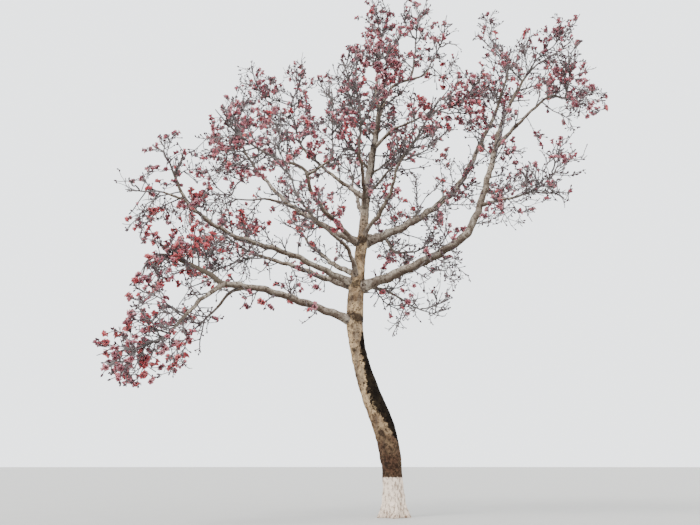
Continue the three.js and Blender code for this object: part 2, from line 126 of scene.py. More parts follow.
boughPieces = {
    "bough_right": {
        "parent": "trunk", "height": 7.73, "radii": (0.18, 0.142),
        "runs": ((1, 347, 16), (0.8, 345, 20), (0.76, 344, 20), (1.1, 343, 25), (0.7, 340, 33)),
    },
    "bough_right_upright": {
        "parent": "bough_right", "share": 1, "radii": (0.141, 0.066),
        "runs": ((0.3, 0, 50), (1.05, 0, 66), (1.45, 0, 72),
            (0.85, 0, 73), (1.2, 32, 71), (1.1, 24, 63)),
        "stem": ((1.6, 15, 61), (0.95, 9, 48), (0.9, 8, 38), (0.75, 7, 32)),
    },
    "bough_mid_right": {
        "parent": "trunk", "height": 9.38, "radii": (0.158, 0.076),
        "runs": ((1.05, 18, 28), (1, 20, 30), (1.1, 20, 35), (0.9, 17, 40),
            (0.95, 16, 44), (1.5, 15, 59), (1.2, 13, 64), (1.25, 10, 62)),
        "stem": ((1.4, 18, 69), (1.2, 20, 70), (0.9, 60, 72), (1, 150, 60)),
    },
    "bough_low_left": {
        "parent": "trunk", "height": 6.5, "radii": (0.145, 0.098),
        "runs": ((1.65, 204, 15), (1.7, 209, 11), (0.9, 214, 1), (0.9, 222, -4)),
        "stem": ((0.5, 214, 28), (0.8, 216, 17), (0.9, 216, 8), (0.4, 222, -35), (0.9, 250, -70)),
    },
    "bough_mid_left": {
        "parent": "trunk", "height": 9.44, "radii": (0.132, 0.064),
        "runs": ((0.95, 158, 28), (1.6, 157, 35), (1.5, 154, 38), (1.8, 156, 49)),
        "stem": ((0.9, 157, 54), (1.3, 152, 61), (1.3, 122, 70), (1.7, 60, 66)),
    },
    "bough_left": {
        "parent": "trunk", "height": 7.86, "radii": (0.122, 0.058),
        "runs": ((1.5, 193, 22), (1.1, 192, 23), (1.45, 192, 15),
            (1, 192, 18), (1.45, 194, 32), (0.75, 193, 53)),
        "stem": ((0.5, 207, 65), (0.7, 201, 65), (0.5, 206, 60), (0.3, 300, 62)),
        "reach": 1.5,
    },
    "bough_left_back": {
        "parent": "trunk", "height": 7.76, "radii": (0.118, 0.068),
        "runs": ((1.35, 154, 22), (1.35, 156, 26), (1.6, 156, 22)),
        "stem": ((1.35, 150, 27), (1.9, 149, 37), (1.2, 145, 36)),
    },
    "bough_back_left": {
        "parent": "trunk", "height": 8.25, "radii": (0.112, 0.06),
        "runs": ((1.7, 122, 26), (1.6, 115, 31), (1.3, 124, 35)),
        "stem": ((1.4, 112, 40), (1.4, 126, 44), (1.2, 114, 52)),
    },
    "bough_back_right": {
        "parent": "trunk", "height": 9.65, "radii": (0.11, 0.058),
        "runs": ((1.6, 62, 22), (1.5, 57, 26), (1.3, 66, 30)),
        "stem": ((1.3, 55, 36), (1.3, 68, 42), (1.2, 50, 50)),
    },
    "bough_back": {
        "parent": "trunk", "height": 10.6, "radii": (0.096, 0.054),
        "runs": ((1.4, 100, 34), (1.3, 93, 39), (1.1, 102, 44)),
        "stem": ((1.2, 90, 48), (1.2, 102, 52), (1.1, 86, 60)),
    },
    "bough_front_left": {
        "parent": "trunk", "height": 7.98, "radii": (0.092, 0.054),
        "runs": ((0.9, 255, 44), (0.45, 245, 40), (0.5, 230, 28), (0.5, 232, 12)),
        "stem": ((1.1, 235, 17), (1, 242, 22), (1.2, 248, 34), (0.9, 236, 48)),
    },
    "bough_mid_front_left": {
        "parent": "trunk", "height": 9.33, "radii": (0.094, 0.06),
        "runs": ((0.6, 218, 25), (0.5, 225, 34), (0.55, 220, 27),
            (0.85, 223, 31), (0.65, 232, 53), (0.45, 240, 61)),
        "stem": ((0.4, 210, 22), (0.65, 210, 2), (1.15, 209, 19), (0.9, 205, 33), (0.7, 200, 46)),
    },
    "bough_mid_front_fork": {
        "parent": "bough_mid_front_left", "share": 0.96, "radii": (0.046, 0.034),
        "runs": ((0.45, 344, 26), (0.5, 335, 26)),
        "stem": ((0.4, 300, 52), (0.5, 262, 66), (1, 275, 50), (0.6, 262, 40)),
        "reach": 1.7,
    },
    "bough_front_right": {
        "parent": "trunk", "height": 9.52, "radii": (0.092, 0.054),
        "runs": ((0.5, 308, 50), (0.75, 317, 38), (0.65, 314, 48), (0.65, 305, 56)),
        "stem": ((0.6, 306, 64), (1, 318, 42), (1.2, 302, 34), (1.1, 312, 36)),
    },
    "bough_high_left": {
        "parent": "trunk", "height": 11.22, "radii": (0.086, 0.05),
        "runs": ((1.6, 152, 41), (1.4, 149, 45), (0.7, 152, 46)),
        "stem": ((0.9, 142, 58), (1.2, 130, 70), (1.2, 118, 72), (1.6, 60, 66)),
    },
    "bough_front": {
        "parent": "trunk", "height": 10.75, "radii": (0.078, 0.046),
        "runs": ((1.3, 266, 32), (1.2, 260, 38)),
        "stem": ((1.2, 272, 36), (1.2, 260, 40), (1, 270, 50)),
    },
    "bough_top_right": {
        "parent": "trunk", "height": 13.3, "radii": (0.07, 0.044),
        "runs": ((1, 342, 42), (0.9, 341, 16)),
        "stem": ((1, 342, 16), (0.9, 346, 10), (0.8, 0, 34)),
    },
    "bough_far_right": {
        "parent": "bough_right_upright", "share": 0.64, "radii": (0.078, 0.054),
        "runs": ((0.75, 345, 44), (1.15, 343, 43)),
        "stem": ((0.6, 345, 38), (0.45, 345, 20), (0.4, 335, -40), (0.65, 290, 58), (1.1, 262, 66)),
        "reach": 1.7,
    },
    "bough_right_low": {
        "parent": "bough_right_upright", "share": 0.22, "radii": (0.064, 0.046),
        "runs": ((0.65, 328, 4), (0.5, 335, 0)),
        "stem": ((0.95, 335, 12), (0.6, 328, 32), (0.5, 310, 50)),
        "reach": 1.6,
    },
    "bough_low_drooping": {
        "parent": "bough_low_left", "share": 0.985, "radii": (0.076, 0.052),
        "runs": ((0.9, 225, -40), (0.9, 228, -48)),
        "stem": ((0.95, 223, -50), (0.85, 205, -30), (0.5, 208, -40)),
        "reach": 1.7,
    },
    "bough_low_back": {
        "parent": "bough_low_left", "share": 0.8, "radii": (0.064, 0.044),
        "runs": ((0.7, 155, -6), (0.8, 142, -34)),
        "stem": ((1.05, 151, -36), (0.7, 157, -38), (0.7, 165, -20)),
    },
    "bough_left_outer": {
        "parent": "bough_left", "share": 0.95, "radii": (0.048, 0.036),
        "runs": ((0.85, 210, 9),),
        "stem": ((0.7, 207, -8), (0.6, 204, -3)),
        "reach": 1.1,
    },
    "bough_mid_left_low": {
        "parent": "bough_mid_left", "share": 0.66, "radii": (0.058, 0.042),
        "runs": ((0.5, 215, -4), (0.5, 196, 6)),
        "stem": ((0.7, 188, -8), (0.7, 196, 4), (0.7, 180, 22)),
        "reach": 1.5,
    },
    "leader_left": {
        "parent": "trunk", "share": 1, "radii": (0.084, 0.05),
        "runs": ((0.8, 180, 82), (1.1, 65, 81)),
        "stem": ((1.05, 62, 80), (1.5, 31, 79), (1.1, 17, 76)),
    },
    "leader_right": {
        "parent": "trunk", "height": 14.65, "radii": (0.066, 0.05),
        "runs": ((1.25, 0, 70), (0.45, 0, 50), (0.6, 0, 24)),
        "stem": ((1.15, 0, 77), (1.4, 0, 84), (0.9, 10, 76)),
    },
    "leader_far_right": {
        "parent": "leader_right", "share": 0.94, "radii": (0.04, 0.032),
        "runs": ((0.8, 0, 20), (0.5, 0, 62)),
        "stem": ((1.1, 0, 65), (0.9, 5, 76), (0.6, 355, 78)),
        "reach": 1.4,
    },
}

# Small limbs that start at the trunk itself.
trunkStems = {
    "right_drooping": {
        "height": 7.76, "radius": 0.066,
        "stem": ((0.7, 42, 14), (0.9, 43, 0), (0.95, 47, -8), (1, 47, -12), (1, 42, -2), (0.6, 36, 25)),
    },
    "high_right": {
        "height": 11.35, "radius": 0.058,
        "stem": ((0.8, 326, 36), (0.8, 340, 46), (0.9, 335, 40), (0.8, 320, 35)),
    },
    "high_back": {
        "height": 12.15, "radius": 0.056,
        "stem": ((0.9, 40, 42), (1, 32, 44), (1, 45, 46), (0.9, 30, 42)),
    },
    "high_front": {
        "height": 12.35, "radius": 0.054,
        "stem": ((0.8, 222, 38), (0.9, 212, 44), (0.9, 225, 48), (0.4, 210, 55)),
    },
    "top_left": {
        "height": 13.8, "radius": 0.054,
        "stem": ((1.4, 174, 55), (1.25, 162, 74), (1.1, 155, 78)),
    },
    "top_back": {
        "height": 13.75, "radius": 0.05,
        "stem": ((0.9, 88, 42), (1, 95, 48), (1.1, 84, 56), (0.8, 90, 55)),
    },
    "top_front": {
        "height": 14.05, "radius": 0.05,
        "stem": ((0.8, 280, 44), (0.9, 290, 54), (1, 278, 60), (0.8, 290, 55)),
    },
}

# Branches between the limbs: radius in millimetres, then the route in centimetres from the limb. They were
# drawn by eye over the photograph at guessed depths, but a scratch script worked out these numbers.
sideBranches = (
    (25, (-768, -132, 1145), (-749, -89, 1192), (-715, -41, 1223)),
    (18, (-770, -133, 1148), (-738, -185, 1180), (-739, -198, 1189)),
    (20, (-792, -141, 1199), (-780, -103, 1249), (-752, -74, 1277), (-740, -63, 1283)),
    (18, (-781, -137, 1174), (-806, -185, 1144), (-812, -202, 1148)),
    (21, (-805, -148, 1225), (-805, -117, 1291), (-797, -96, 1345)),
    (18, (-810, -150, 1234), (-844, -189, 1228), (-858, -202, 1226)),
    (18, (-864, -192, 1065), (-864, -155, 1144), (-860, -127, 1197)),
    (16, (-900, -208, 1063), (-914, -232, 1088), (-928, -260, 1119)),
    (16, (-883, -200, 1064), (-942, -172, 1101), (-968, -161, 1109)),
    (13, (-797, -158, 1075), (-817, -119, 1141)),
    (27, (-746, -121, 1093), (-785, -150, 1072), (-812, -170, 1048),
        (-840, -193, 1015), (-852, -216, 966), (-870, -238, 924)),
    (15, (-836, -187, 1029), (-849, -161, 1079)),
    (30, (-737, -119, 1078), (-786, -90, 1067), (-835, -67, 1053), (-871, -44, 1020),
        (-907, -24, 992), (-917, -10, 966), (-910, -2, 949)),
    (15, (-786, -90, 1067), (-805, -63, 1031), (-813, -51, 1013)),
    (18, (-710, -113, 1042), (-731, -167, 993), (-736, -191, 961)),
    (17, (-699, -110, 1028), (-676, -58, 1109)),
    (40, (-511, 195, 1309), (-566, 170, 1295), (-605, 150, 1245),
        (-616, 135, 1195), (-662, 119, 1205), (-689, 104, 1237)),
    (18, (-616, 135, 1195), (-686, 174, 1167), (-717, 187, 1160)),
    (13, (-615, 136, 1197), (-584, 123, 1159), (-560, 110, 1115)),
    (20, (-639, -95, 987), (-636, -47, 1078), (-649, -30, 1109)),
    (21, (-673, -104, 1010), (-650, -160, 955), (-654, -182, 924)),
    (32, (-603, -265, 747), (-602, -250, 788), (-628, -227, 851), (-651, -206, 915), (-683, -187, 974)),
    (30, (-622, -278, 754), (-657, -311, 768), (-689, -339, 792), (-726, -368, 811), (-747, -382, 813)),
    (22, (-644, -294, 763), (-676, -253, 828), (-707, -216, 897)),
    (18, (-647, -296, 764), (-684, -326, 731), (-710, -348, 743)),
    (23, (-673, -324, 777), (-725, -292, 771), (-756, -263, 733), (-770, -233, 688)),
    (18, (-689, -339, 792), (-716, -367, 763), (-743, -391, 739)),
    (33, (-477, 185, 946), (-543, 163, 933), (-601, 140, 905), (-656, 118, 870), (-683, 107, 855)),
    (22, (-565, 154, 924), (-598, 170, 902), (-630, 183, 882), (-651, 193, 856)),
    (21, (-543, 163, 933), (-552, 139, 868), (-570, 124, 828)),
    (17, (-477, 185, 946), (-475, 224, 907)),
    (23, (-375, 140, 901), (-347, 105, 842), (-351, 75, 779)),
    (22, (-498, 197, 956), (-540, 178, 972), (-597, 155, 939),
        (-633, 142, 918), (-668, 129, 902), (-701, 119, 906)),
    (22, (-536, -71, 938), (-569, -47, 929), (-633, -11, 922), (-662, 7, 905)),
    (20, (-591, -83, 959), (-626, -119, 926), (-644, -148, 871)),
    (18, (-685, -324, 772), (-724, -276, 746), (-724, -259, 728)),
    (20, (-728, -355, 780), (-755, -390, 739), (-764, -420, 687)),
    (32, (-641, -322, 596), (-682, -346, 618), (-708, -364, 635), (-737, -381, 645), (-768, -400, 656)),
    (17, (-731, -378, 644), (-768, -352, 622), (-770, -339, 604)),
    (13, (-708, -364, 635), (-691, -390, 655)),
    (23, (-659, -338, 567), (-688, -318, 599), (-731, -297, 604), (-766, -273, 578)),
    (28, (-699, -369, 515), (-707, -400, 545), (-727, -426, 565), (-747, -451, 586), (-754, -460, 595)),
    (20, (-707, -399, 542), (-747, -376, 526), (-791, -356, 512), (-808, -347, 532)),
    (22, (-705, -373, 511), (-729, -343, 470), (-759, -320, 438), (-806, -295, 412)),
    (16, (-689, -365, 521), (-679, -404, 465)),
    (17, (-672, -335, 603), (-662, -303, 647), (-651, -282, 678), (-649, -263, 713), (-646, -244, 749)),
    (15, (-598, -274, 666), (-641, -248, 694), (-659, -235, 684)),
    (18, (-647, -67, 631), (-671, -103, 632), (-686, -119, 625)),
    (16, (-715, -35, 574), (-750, -5, 544), (-763, 17, 512)),
    (16, (-698, -43, 589), (-729, -15, 627), (-731, -4, 651)),
    (18, (-746, -391, 485), (-784, -359, 464), (-806, -340, 447), (-828, -326, 437)),
    (18, (-764, -401, 470), (-787, -434, 480), (-798, -453, 468)),
    (18, (-729, -383, 496), (-760, -345, 464), (-759, -331, 448)),
    (30, (-511, 195, 1309), (-567, 210, 1346), (-607, 221, 1357), (-651, 233, 1358),
        (-691, 243, 1354), (-732, 254, 1363), (-773, 264, 1364), (-811, 273, 1382)),
    (22, (-607, 221, 1357), (-638, 201, 1375), (-704, 169, 1386), (-737, 154, 1369), (-762, 143, 1354)),
    (16, (-691, 243, 1354), (-755, 270, 1334), (-793, 282, 1340)),
    (25, (-481, -284, 1201), (-515, -265, 1203), (-548, -248, 1201),
        (-583, -232, 1202), (-617, -216, 1210), (-664, -193, 1203)),
    (23, (-512, -299, 1223), (-561, -325, 1201), (-608, -348, 1181), (-640, -364, 1176)),
    (17, (-543, -313, 1245), (-595, -278, 1261), (-623, -261, 1275)),
    (30, (-394, 222, 1657), (-446, 199, 1662), (-505, 178, 1679),
        (-543, 159, 1726), (-564, 141, 1783), (-565, 131, 1817)),
    (15, (-538, 162, 1719), (-608, 183, 1746), (-623, 188, 1765)),
    (13, (-561, 145, 1770), (-601, 125, 1782), (-617, 119, 1783)),
    (21, (-392, 240, 1712), (-453, 276, 1767), (-504, 305, 1839)),
    (18, (-385, 254, 1747), (-391, 230, 1794), (-426, 211, 1822), (-439, 202, 1841)),
    (18, (-387, 250, 1736), (-342, 289, 1786), (-309, 328, 1859)),
    (21, (-381, 259, 1762), (-362, 243, 1823), (-358, 228, 1896), (-354, 220, 1933)),
    (15, (-396, 225, 1668), (-337, 258, 1648), (-312, 277, 1685)),
    (23, (-354, 164, 1453), (-404, 183, 1483), (-460, 208, 1545), (-493, 233, 1643), (-504, 242, 1679)),
    (18, (-410, -245, 1173), (-407, -207, 1250), (-437, -180, 1310)),
    (23, (-453, -269, 1190), (-467, -288, 1214), (-485, -318, 1261), (-488, -333, 1287), (-490, -347, 1313)),
    (21, (-508, -297, 1221), (-529, -278, 1261), (-545, -262, 1306), (-550, -248, 1350), (-548, -232, 1400)),
    (17, (-380, -228, 1163), (-430, -192, 1157), (-456, -176, 1160)),
    (17, (-361, -217, 1163), (-318, -253, 1104), (-300, -269, 1074)),
    (21, (-287, -162, 1107), (-346, -136, 1133), (-384, -119, 1149), (-399, -110, 1133)),
    (21, (-438, 163, 1215), (-428, 125, 1251), (-423, 111, 1267)),
    (20, (-565, 218, 1393), (-623, 182, 1384), (-669, 153, 1342)),
    (27, (-489, 97, 1161), (-527, 126, 1126), (-557, 147, 1100), (-566, 162, 1072)),
    (21, (-601, 238, 1467), (-670, 280, 1449), (-744, 316, 1482)),
    (18, (-634, 275, 1593), (-699, 303, 1645), (-768, 327, 1659)),
    (21, (-372, 186, 1532), (-440, 150, 1525), (-491, 121, 1509)),
    (20, (-202, -278, 1291), (-247, -312, 1265), (-291, -343, 1235)),
    (18, (-204, -239, 1237), (-249, -201, 1293), (-271, -187, 1293)),
    (30, (-58, 1, 1286), (-108, -40, 1291), (-161, -74, 1294), (-209, -103, 1286)),
    (21, (-104, -37, 1290), (-173, -5, 1296), (-212, 15, 1268)),
    (30, (-52, 1, 1321), (-61, -27, 1345), (-89, -61, 1377), (-108, -77, 1389)),
    (27, (-27, 0, 1490), (-44, 47, 1581), (-47, 65, 1625)),
    (23, (-27, 0, 1490), (-84, -51, 1497), (-134, -91, 1498)),
    (26, (-55, 1, 1303), (20, 43, 1321), (75, 79, 1357)),
    (17, (-27, 0, 1490), (31, 47, 1466), (44, 65, 1449)),
    (25, (43, -146, 1206), (82, -117, 1263), (118, -99, 1289),
        (158, -81, 1306), (213, -54, 1364), (235, -42, 1392)),
    (17, (111, -54, 1424), (171, -8, 1420), (205, 11, 1418)),
    (25, (-35, 7, 1618), (-62, -12, 1626), (-126, -39, 1599), (-177, -60, 1607), (-235, -84, 1609)),
    (17, (-140, -45, 1603), (-198, -20, 1607), (-238, -1, 1587), (-258, 7, 1583)),
    (15, (-146, -48, 1605), (-173, -80, 1658), (-177, -87, 1671)),
    (20, (-24, 28, 1755), (-73, -5, 1744), (-142, -37, 1749)),
    (15, (-8, 41, 1873), (-39, 81, 1942), (-51, 93, 1972)),
    (16, (-2, 44, 1906), (-54, 14, 1925), (-105, -8, 1942)),
    (15, (9, 48, 1955), (-17, 64, 2001), (-59, 87, 2082)),
    (23, (182, 0, 1707), (228, -30, 1628), (261, -52, 1563), (289, -65, 1537)),
    (16, (234, 0, 1829), (292, 41, 1900), (316, 52, 1915)),
    (16, (233, 0, 1824), (272, -29, 1789), (290, -39, 1772)),
    (15, (138, 0, 1897), (190, 28, 1900), (225, 52, 1859)),
    (16, (203, 0, 1752), (149, 37, 1774), (125, 52, 1785)),
    (18, (99, 0, 1653), (75, -16, 1674), (34, -40, 1723), (58, -65, 1790)),
    (16, (234, -36, 1610), (254, -9, 1693), (278, 3, 1731)),
    (17, (123, 0, 1757), (71, 48, 1782), (47, 65, 1789)),
    (26, (574, -135, 1454), (602, -164, 1401), (632, -185, 1363), (653, -200, 1334)),
    (16, (515, -119, 1402), (538, -96, 1378), (570, -67, 1344)),
    (20, (659, -189, 1496), (713, -159, 1489), (766, -136, 1491), (831, -111, 1507)),
    (17, (661, -196, 1509), (691, -223, 1518), (729, -248, 1518)),
    (17, (658, -185, 1490), (711, -155, 1461), (699, -133, 1420)),
    (20, (659, -187, 1493), (684, -207, 1470), (695, -224, 1430), (702, -251, 1356), (718, -265, 1328)),
    (15, (656, -227, 1579), (706, -192, 1592), (725, -175, 1582)),
    (23, (640, -157, 1458), (628, -126, 1545), (590, -102, 1588), (569, -92, 1586)),
    (35, (564, -26, 1642), (598, -12, 1706), (629, -3, 1746), (668, 7, 1781), (708, 17, 1823),
        (744, 26, 1864), (776, 34, 1905), (814, 44, 1953), (843, 52, 2001)),
    (22, (676, 9, 1790), (711, -27, 1747), (718, -43, 1712)),
    (20, (615, -7, 1728), (608, 21, 1811), (571, 45, 1839)),
    (17, (708, 17, 1823), (722, -9, 1842), (710, -48, 1890)),
    (21, (574, -25, 1653), (561, -50, 1679), (531, -90, 1724)),
    (28, (544, -30, 1615), (509, -7, 1686), (483, 13, 1762), (441, 32, 1824), (402, 48, 1881)),
    (21, (446, 30, 1818), (439, 12, 1849), (421, -12, 1899), (412, -22, 1920)),
    (18, (506, -3, 1703), (523, 13, 1757), (546, 32, 1824), (597, 49, 1882)),
    (17, (495, 6, 1738), (516, -17, 1754), (558, -46, 1762)),
    (25, (502, 192, 1653), (457, 175, 1666), (421, 161, 1683),
        (372, 140, 1728), (333, 122, 1770), (315, 114, 1790)),
    (18, (496, 190, 1637), (483, 210, 1689), (477, 235, 1776), (449, 255, 1837)),
    (18, (428, 176, 1491), (382, 146, 1523), (333, 123, 1543), (301, 111, 1531)),
    (16, (385, 166, 1401), (453, 205, 1396), (476, 218, 1383)),
    (15, (375, -89, 1199), (444, -53, 1234), (482, -24, 1295)),
    (27, (306, 146, 1255), (356, 106, 1221), (407, 71, 1188), (429, 55, 1168)),
    (25, (257, 132, 1195), (280, 164, 1265), (276, 196, 1335), (300, 223, 1400)),
    (17, (277, 194, 1331), (239, 167, 1353), (230, 155, 1374)),
    (50, (-15, 40, 985), (17, 8, 913), (48, -8, 904), (90, -29, 897), (135, -55, 923), (159, -77, 960)),
    (17, (214, -70, 902), (203, -48, 960), (211, -29, 1006), (224, -9, 1058), (233, 8, 1105)),
    (16, (164, -55, 877), (205, -83, 819), (230, -107, 765)),
    (16, (214, -70, 902), (234, -52, 866), (235, -30, 821), (250, -18, 798)),
    (15, (51, -21, 829), (65, -60, 746)),
    (16, (135, -46, 863), (122, -9, 927), (110, 6, 944)),
    (20, (391, -128, 1058), (432, -96, 1112), (499, -63, 1159)),
    (18, (431, -147, 1059), (473, -174, 1073), (501, -188, 1078), (549, -212, 1075)),
    (18, (416, -139, 1058), (448, -108, 1044), (476, -74, 1015)),
    (18, (404, -134, 1058), (391, -160, 1007), (349, -183, 975), (326, -199, 943)),
    (15, (391, -160, 1007), (419, -132, 966), (438, -121, 951)),
    (16, (427, -145, 1058), (455, -162, 1025), (482, -175, 1016), (528, -197, 1029)),
    (17, (507, -182, 1077), (502, -159, 1122), (467, -130, 1167)),
    (16, (526, -193, 1089), (521, -227, 1120), (521, -245, 1138)),
    (20, (544, -204, 1102), (578, -184, 1137), (636, -153, 1195), (668, -139, 1219)),
    (17, (326, -89, 1053), (279, -122, 1069), (217, -154, 1059)),
    (18, (71, 71, 1037), (46, 98, 1093), (21, 119, 1132), (-6, 136, 1156)),
    (18, (292, -89, 976), (335, -57, 1010), (366, -37, 1034)),
    (18, (354, -89, 1134), (405, -116, 1107), (447, -141, 1127)),
)

# Gaps and uneven spots of the crown as the camera sees them, on the upright plane through the trunk's
# foot: x, height and radius, then for the spots how dense their growth and their blossom are. They were
# measured by a scratch script: it found the gaps where the photograph shows sky, chose the spots where a
# render differed most from it, and fitted both factors to the photograph's cover and its share of red.
crownGaps = (
    (-10.0, 8.4, 0.85), (-9.8, 12.7, 0.66), (-9.7, 14.2, 0.91), (-7.1, 15.2, 0.54), (-5.4, 11.4, 0.39),
    (-7.7, 7.3, 0.29), (-6.6, 16.5, 0.71), (-9.2, 8.6, 0.38), (-8.8, 12.7, 0.26), (-1.6, 18.8, 0.72),
    (-2.8, 16.9, 0.43), (-1.8, 8.5, 0.24), (3.3, 19.6, 0.73), (-8.0, 7.8, 0.26), (8.7, 16.4, 0.45),
    (-7.6, 14.5, 0.7), (-10.1, 7.0, 0.84), (-6.2, 11.7, 0.24), (-2.7, 14.9, 0.27), (-5.7, 17.4, 0.44),
    (-8.8, 12.1, 0.24), (-8.5, 10.0, 0.32), (-2.5, 18.1, 0.97), (2.9, 18.4, 0.26), (8.0, 18.5, 0.27),
    (2.5, 10.3, 0.28), (-8.8, 9.1, 0.25), (0.5, 19.8, 0.26), (-2.6, 15.2, 0.29), (-7.6, 7.5, 0.31),
    (5.8, 19.8, 0.99), (-2.9, 15.7, 0.26), (0.9, 18.0, 0.28), (-8.4, 12.1, 0.26), (8.7, 17.7, 0.71),
    (-4.0, 9.9, 0.24), (-0.8, 19.8, 0.28), (4.9, 18.4, 0.28), (-3.8, 16.1, 0.25), (-4.4, 16.9, 0.42),
    (4.2, 9.5, 0.68), (2.7, 17.8, 0.3), (3.6, 12.1, 0.25), (2.3, 19.4, 0.32), (2.8, 13.2, 0.41),
    (-9.9, 9.1, 0.86), (1.4, 11.1, 0.25), (-7.7, 13.6, 0.33), (-7.2, 11.6, 0.25), (-8.7, 14.8, 0.93),
    (-6.7, 14.9, 0.25), (6.6, 14.7, 0.32), (2.2, 15.8, 0.25), (-10.5, 10.9, 0.88), (-1.3, 11.1, 0.25),
    (3.1, 8.8, 0.39), (3.3, 18.6, 0.34), (3.4, 17.2, 0.42), (-4.0, 17.4, 0.34), (2.8, 9.3, 0.23),
    (-1.2, 18.4, 0.34), (7.6, 20.2, 0.75),
)
unevenSpots = (
    (-2.9, 13.3, 0.50, 2.5, 4.0), (0.3, 11.6, 0.49, 2.5, 2.5), (-1.6, 10.4, 0.49, 2.5, 4.0),
    (-0.6, 16.8, 0.53, 2.5, 4.0), (-4.7, 16.0, 0.52, 2.2, 2.1), (-1.8, 16.9, 0.53, 0.3, 0.1),
    (-5.0, 14.6, 0.51, 2.5, 2.7), (-8.0, 13.1, 0.50, 0.1, 0.5), (1.2, 15.1, 0.52, 2.5, 4.0),
    (-2.2, 9.4, 0.48, 2.5, 0.1), (-0.1, 9.4, 0.48, 2.5, 0.1), (-6.3, 8.9, 0.48, 2.4, 0.5),
    (-6.9, 13.4, 0.51, 0.9, 2.9), (5.0, 15.1, 0.52, 2.5, 0.7), (-7.8, 8.2, 0.47, 0.7, 0.4),
    (0.4, 14.9, 0.51, 2.5, 0.6), (-1.6, 14.7, 0.51, 1.6, 2.8), (-0.4, 18.1, 0.53, 0.9, 2.9),
    (-2.2, 10.9, 0.49, 2.2, 1.8), (-4.9, 9.8, 0.48, 2.5, 1.8), (3.7, 14.6, 0.51, 2.5, 1.5),
    (-2.6, 14.1, 0.51, 1.6, 1.4), (-6.4, 11.1, 0.49, 0.2, 0.1), (-3.9, 10.6, 0.49, 0.1, 1.4),
    (4.2, 15.4, 0.52, 2.5, 0.3), (1.5, 9.3, 0.48, 2.4, 0.9), (0.2, 16.8, 0.53, 2.3, 1.4),
    (-5.5, 13.9, 0.51, 0.9, 2.5), (0.4, 8.8, 0.48, 2.5, 4.0), (-2.4, 12.6, 0.50, 2.5, 0.7),
    (7.7, 16.7, 0.53, 1.5, 2.6), (-3.4, 9.9, 0.48, 0.1, 2.2), (6.8, 16.5, 0.52, 1.3, 4.0),
    (7.2, 17.7, 0.53, 0.2, 0.5), (4.0, 11.1, 0.49, 2.5, 3.2), (0.8, 15.9, 0.52, 2.5, 0.1),
    (-7.9, 9.3, 0.48, 0.3, 4.0), (-7.4, 11.3, 0.49, 2.5, 4.0), (-2.4, 15.9, 0.52, 0.1, 0.1),
    (-7.1, 7.6, 0.47, 0.5, 0.1), (-7.1, 8.9, 0.48, 1.6, 0.8), (-0.2, 10.9, 0.49, 2.5, 0.1),
    (-3.7, 12.1, 0.50, 0.3, 0.6), (1.3, 13.3, 0.50, 0.2, 0.5), (-4.6, 9.3, 0.48, 2.5, 0.1),
    (-5.3, 8.2, 0.47, 0.6, 0.1), (-0.2, 11.8, 0.50, 2.5, 1.1), (2.0, 17.1, 0.53, 2.5, 1.1),
    (3.6, 15.3, 0.52, 2.5, 3.6), (2.8, 16.0, 0.52, 0.2, 2.7), (0.7, 11.9, 0.50, 2.5, 0.8),
    (-5.8, 10.4, 0.49, 1.6, 2.1), (4.4, 14.8, 0.51, 2.5, 0.7), (0.9, 19.0, 0.54, 2.1, 1.6),
    (-1.2, 10.1, 0.48, 2.5, 1.2), (5.6, 17.7, 0.53, 0.4, 0.1), (6.7, 18.3, 0.54, 2.5, 3.6),
    (-9.1, 11.3, 0.49, 0.5, 0.1), (-7.2, 10.0, 0.48, 0.1, 0.9), (0.8, 9.3, 0.48, 0.3, 0.1),
    (-3.4, 13.2, 0.50, 2.5, 1.1), (-6.4, 6.4, 0.46, 2.5, 0.1), (-5.1, 12.3, 0.50, 1.1, 3.0),
    (6.3, 17.0, 0.53, 0.3, 0.5), (-8.4, 7.0, 0.46, 0.3, 0.3), (-4.6, 10.2, 0.49, 2.5, 0.8),
    (4.2, 12.0, 0.50, 0.4, 0.7), (-3.4, 11.5, 0.49, 0.2, 1.6), (3.7, 12.6, 0.50, 0.4, 0.4),
)

# The source's rule for twigs, with the same names and draws.
twigRule = {
    "seed": 1000, "seedStep": 77, "turn": 137.5, "turnPlay": (0, 40),
    "perMetre": 1.03, "first": 0.35, "reach": 2.0, "reachLoss": 0.45, "reachPlay": (0.8, 1.15),
    "segments": 2, "spread": 58, "spreadLoss": 0.35, "spreadPlay": (0.85, 1.15),
    "lift": 0.16, "wander": 0.42, "radii": (0.024, 0.012), "clearance": 0.04, "tip": 0.018,
    "forkShare": 0.55, "forkTurns": (60, 120), "forkSpread": 50, "forkLengths": (0.4, 0.6),
    "forkSegments": 1, "forkRadii": (0.017, 0.012), "boughStep": 0.8, "stemStep": 0.9, "trunkParts": 2,
    "checks": (1 / 3, 2 / 3, 1), "seam": 0.0003,  # where stretches are tested, and the slit between two limbs
}


def headingOf(bearing, rise):
    turn, climb = math.radians(bearing), math.radians(rise)
    flat = math.cos(climb)
    return np.array((flat * math.cos(turn), flat * math.sin(turn), math.sin(climb)))


def unit(vectors):
    return vectors / np.linalg.norm(vectors, axis=-1, keepdims=True)


def seededRandom(seed):  # the source's own stream of numbers
    state, multiplier, modulus = seed, 16807, 2147483647
    while True:
        state = state * multiplier % modulus
        yield state / modulus


def between(limits, draw):
    return limits[0] + (limits[1] - limits[0]) * next(draw)


def curvePoint(corners, index, part):
    before = corners[index - 1] if index else 2 * corners[0] - corners[1]
    last = index + 2 == len(corners)
    after = 2 * corners[-1] - corners[-2] if last else corners[index + 2]
    low, high = corners[index], corners[index + 1]
    lowSlope, highSlope = (high - before) / 2, (after - low) / 2
    rise = high - low
    return (low + lowSlope * part + (3 * rise - 2 * lowSlope - highSlope) * part ** 2
            + (lowSlope + highSlope - 2 * rise) * part ** 3)


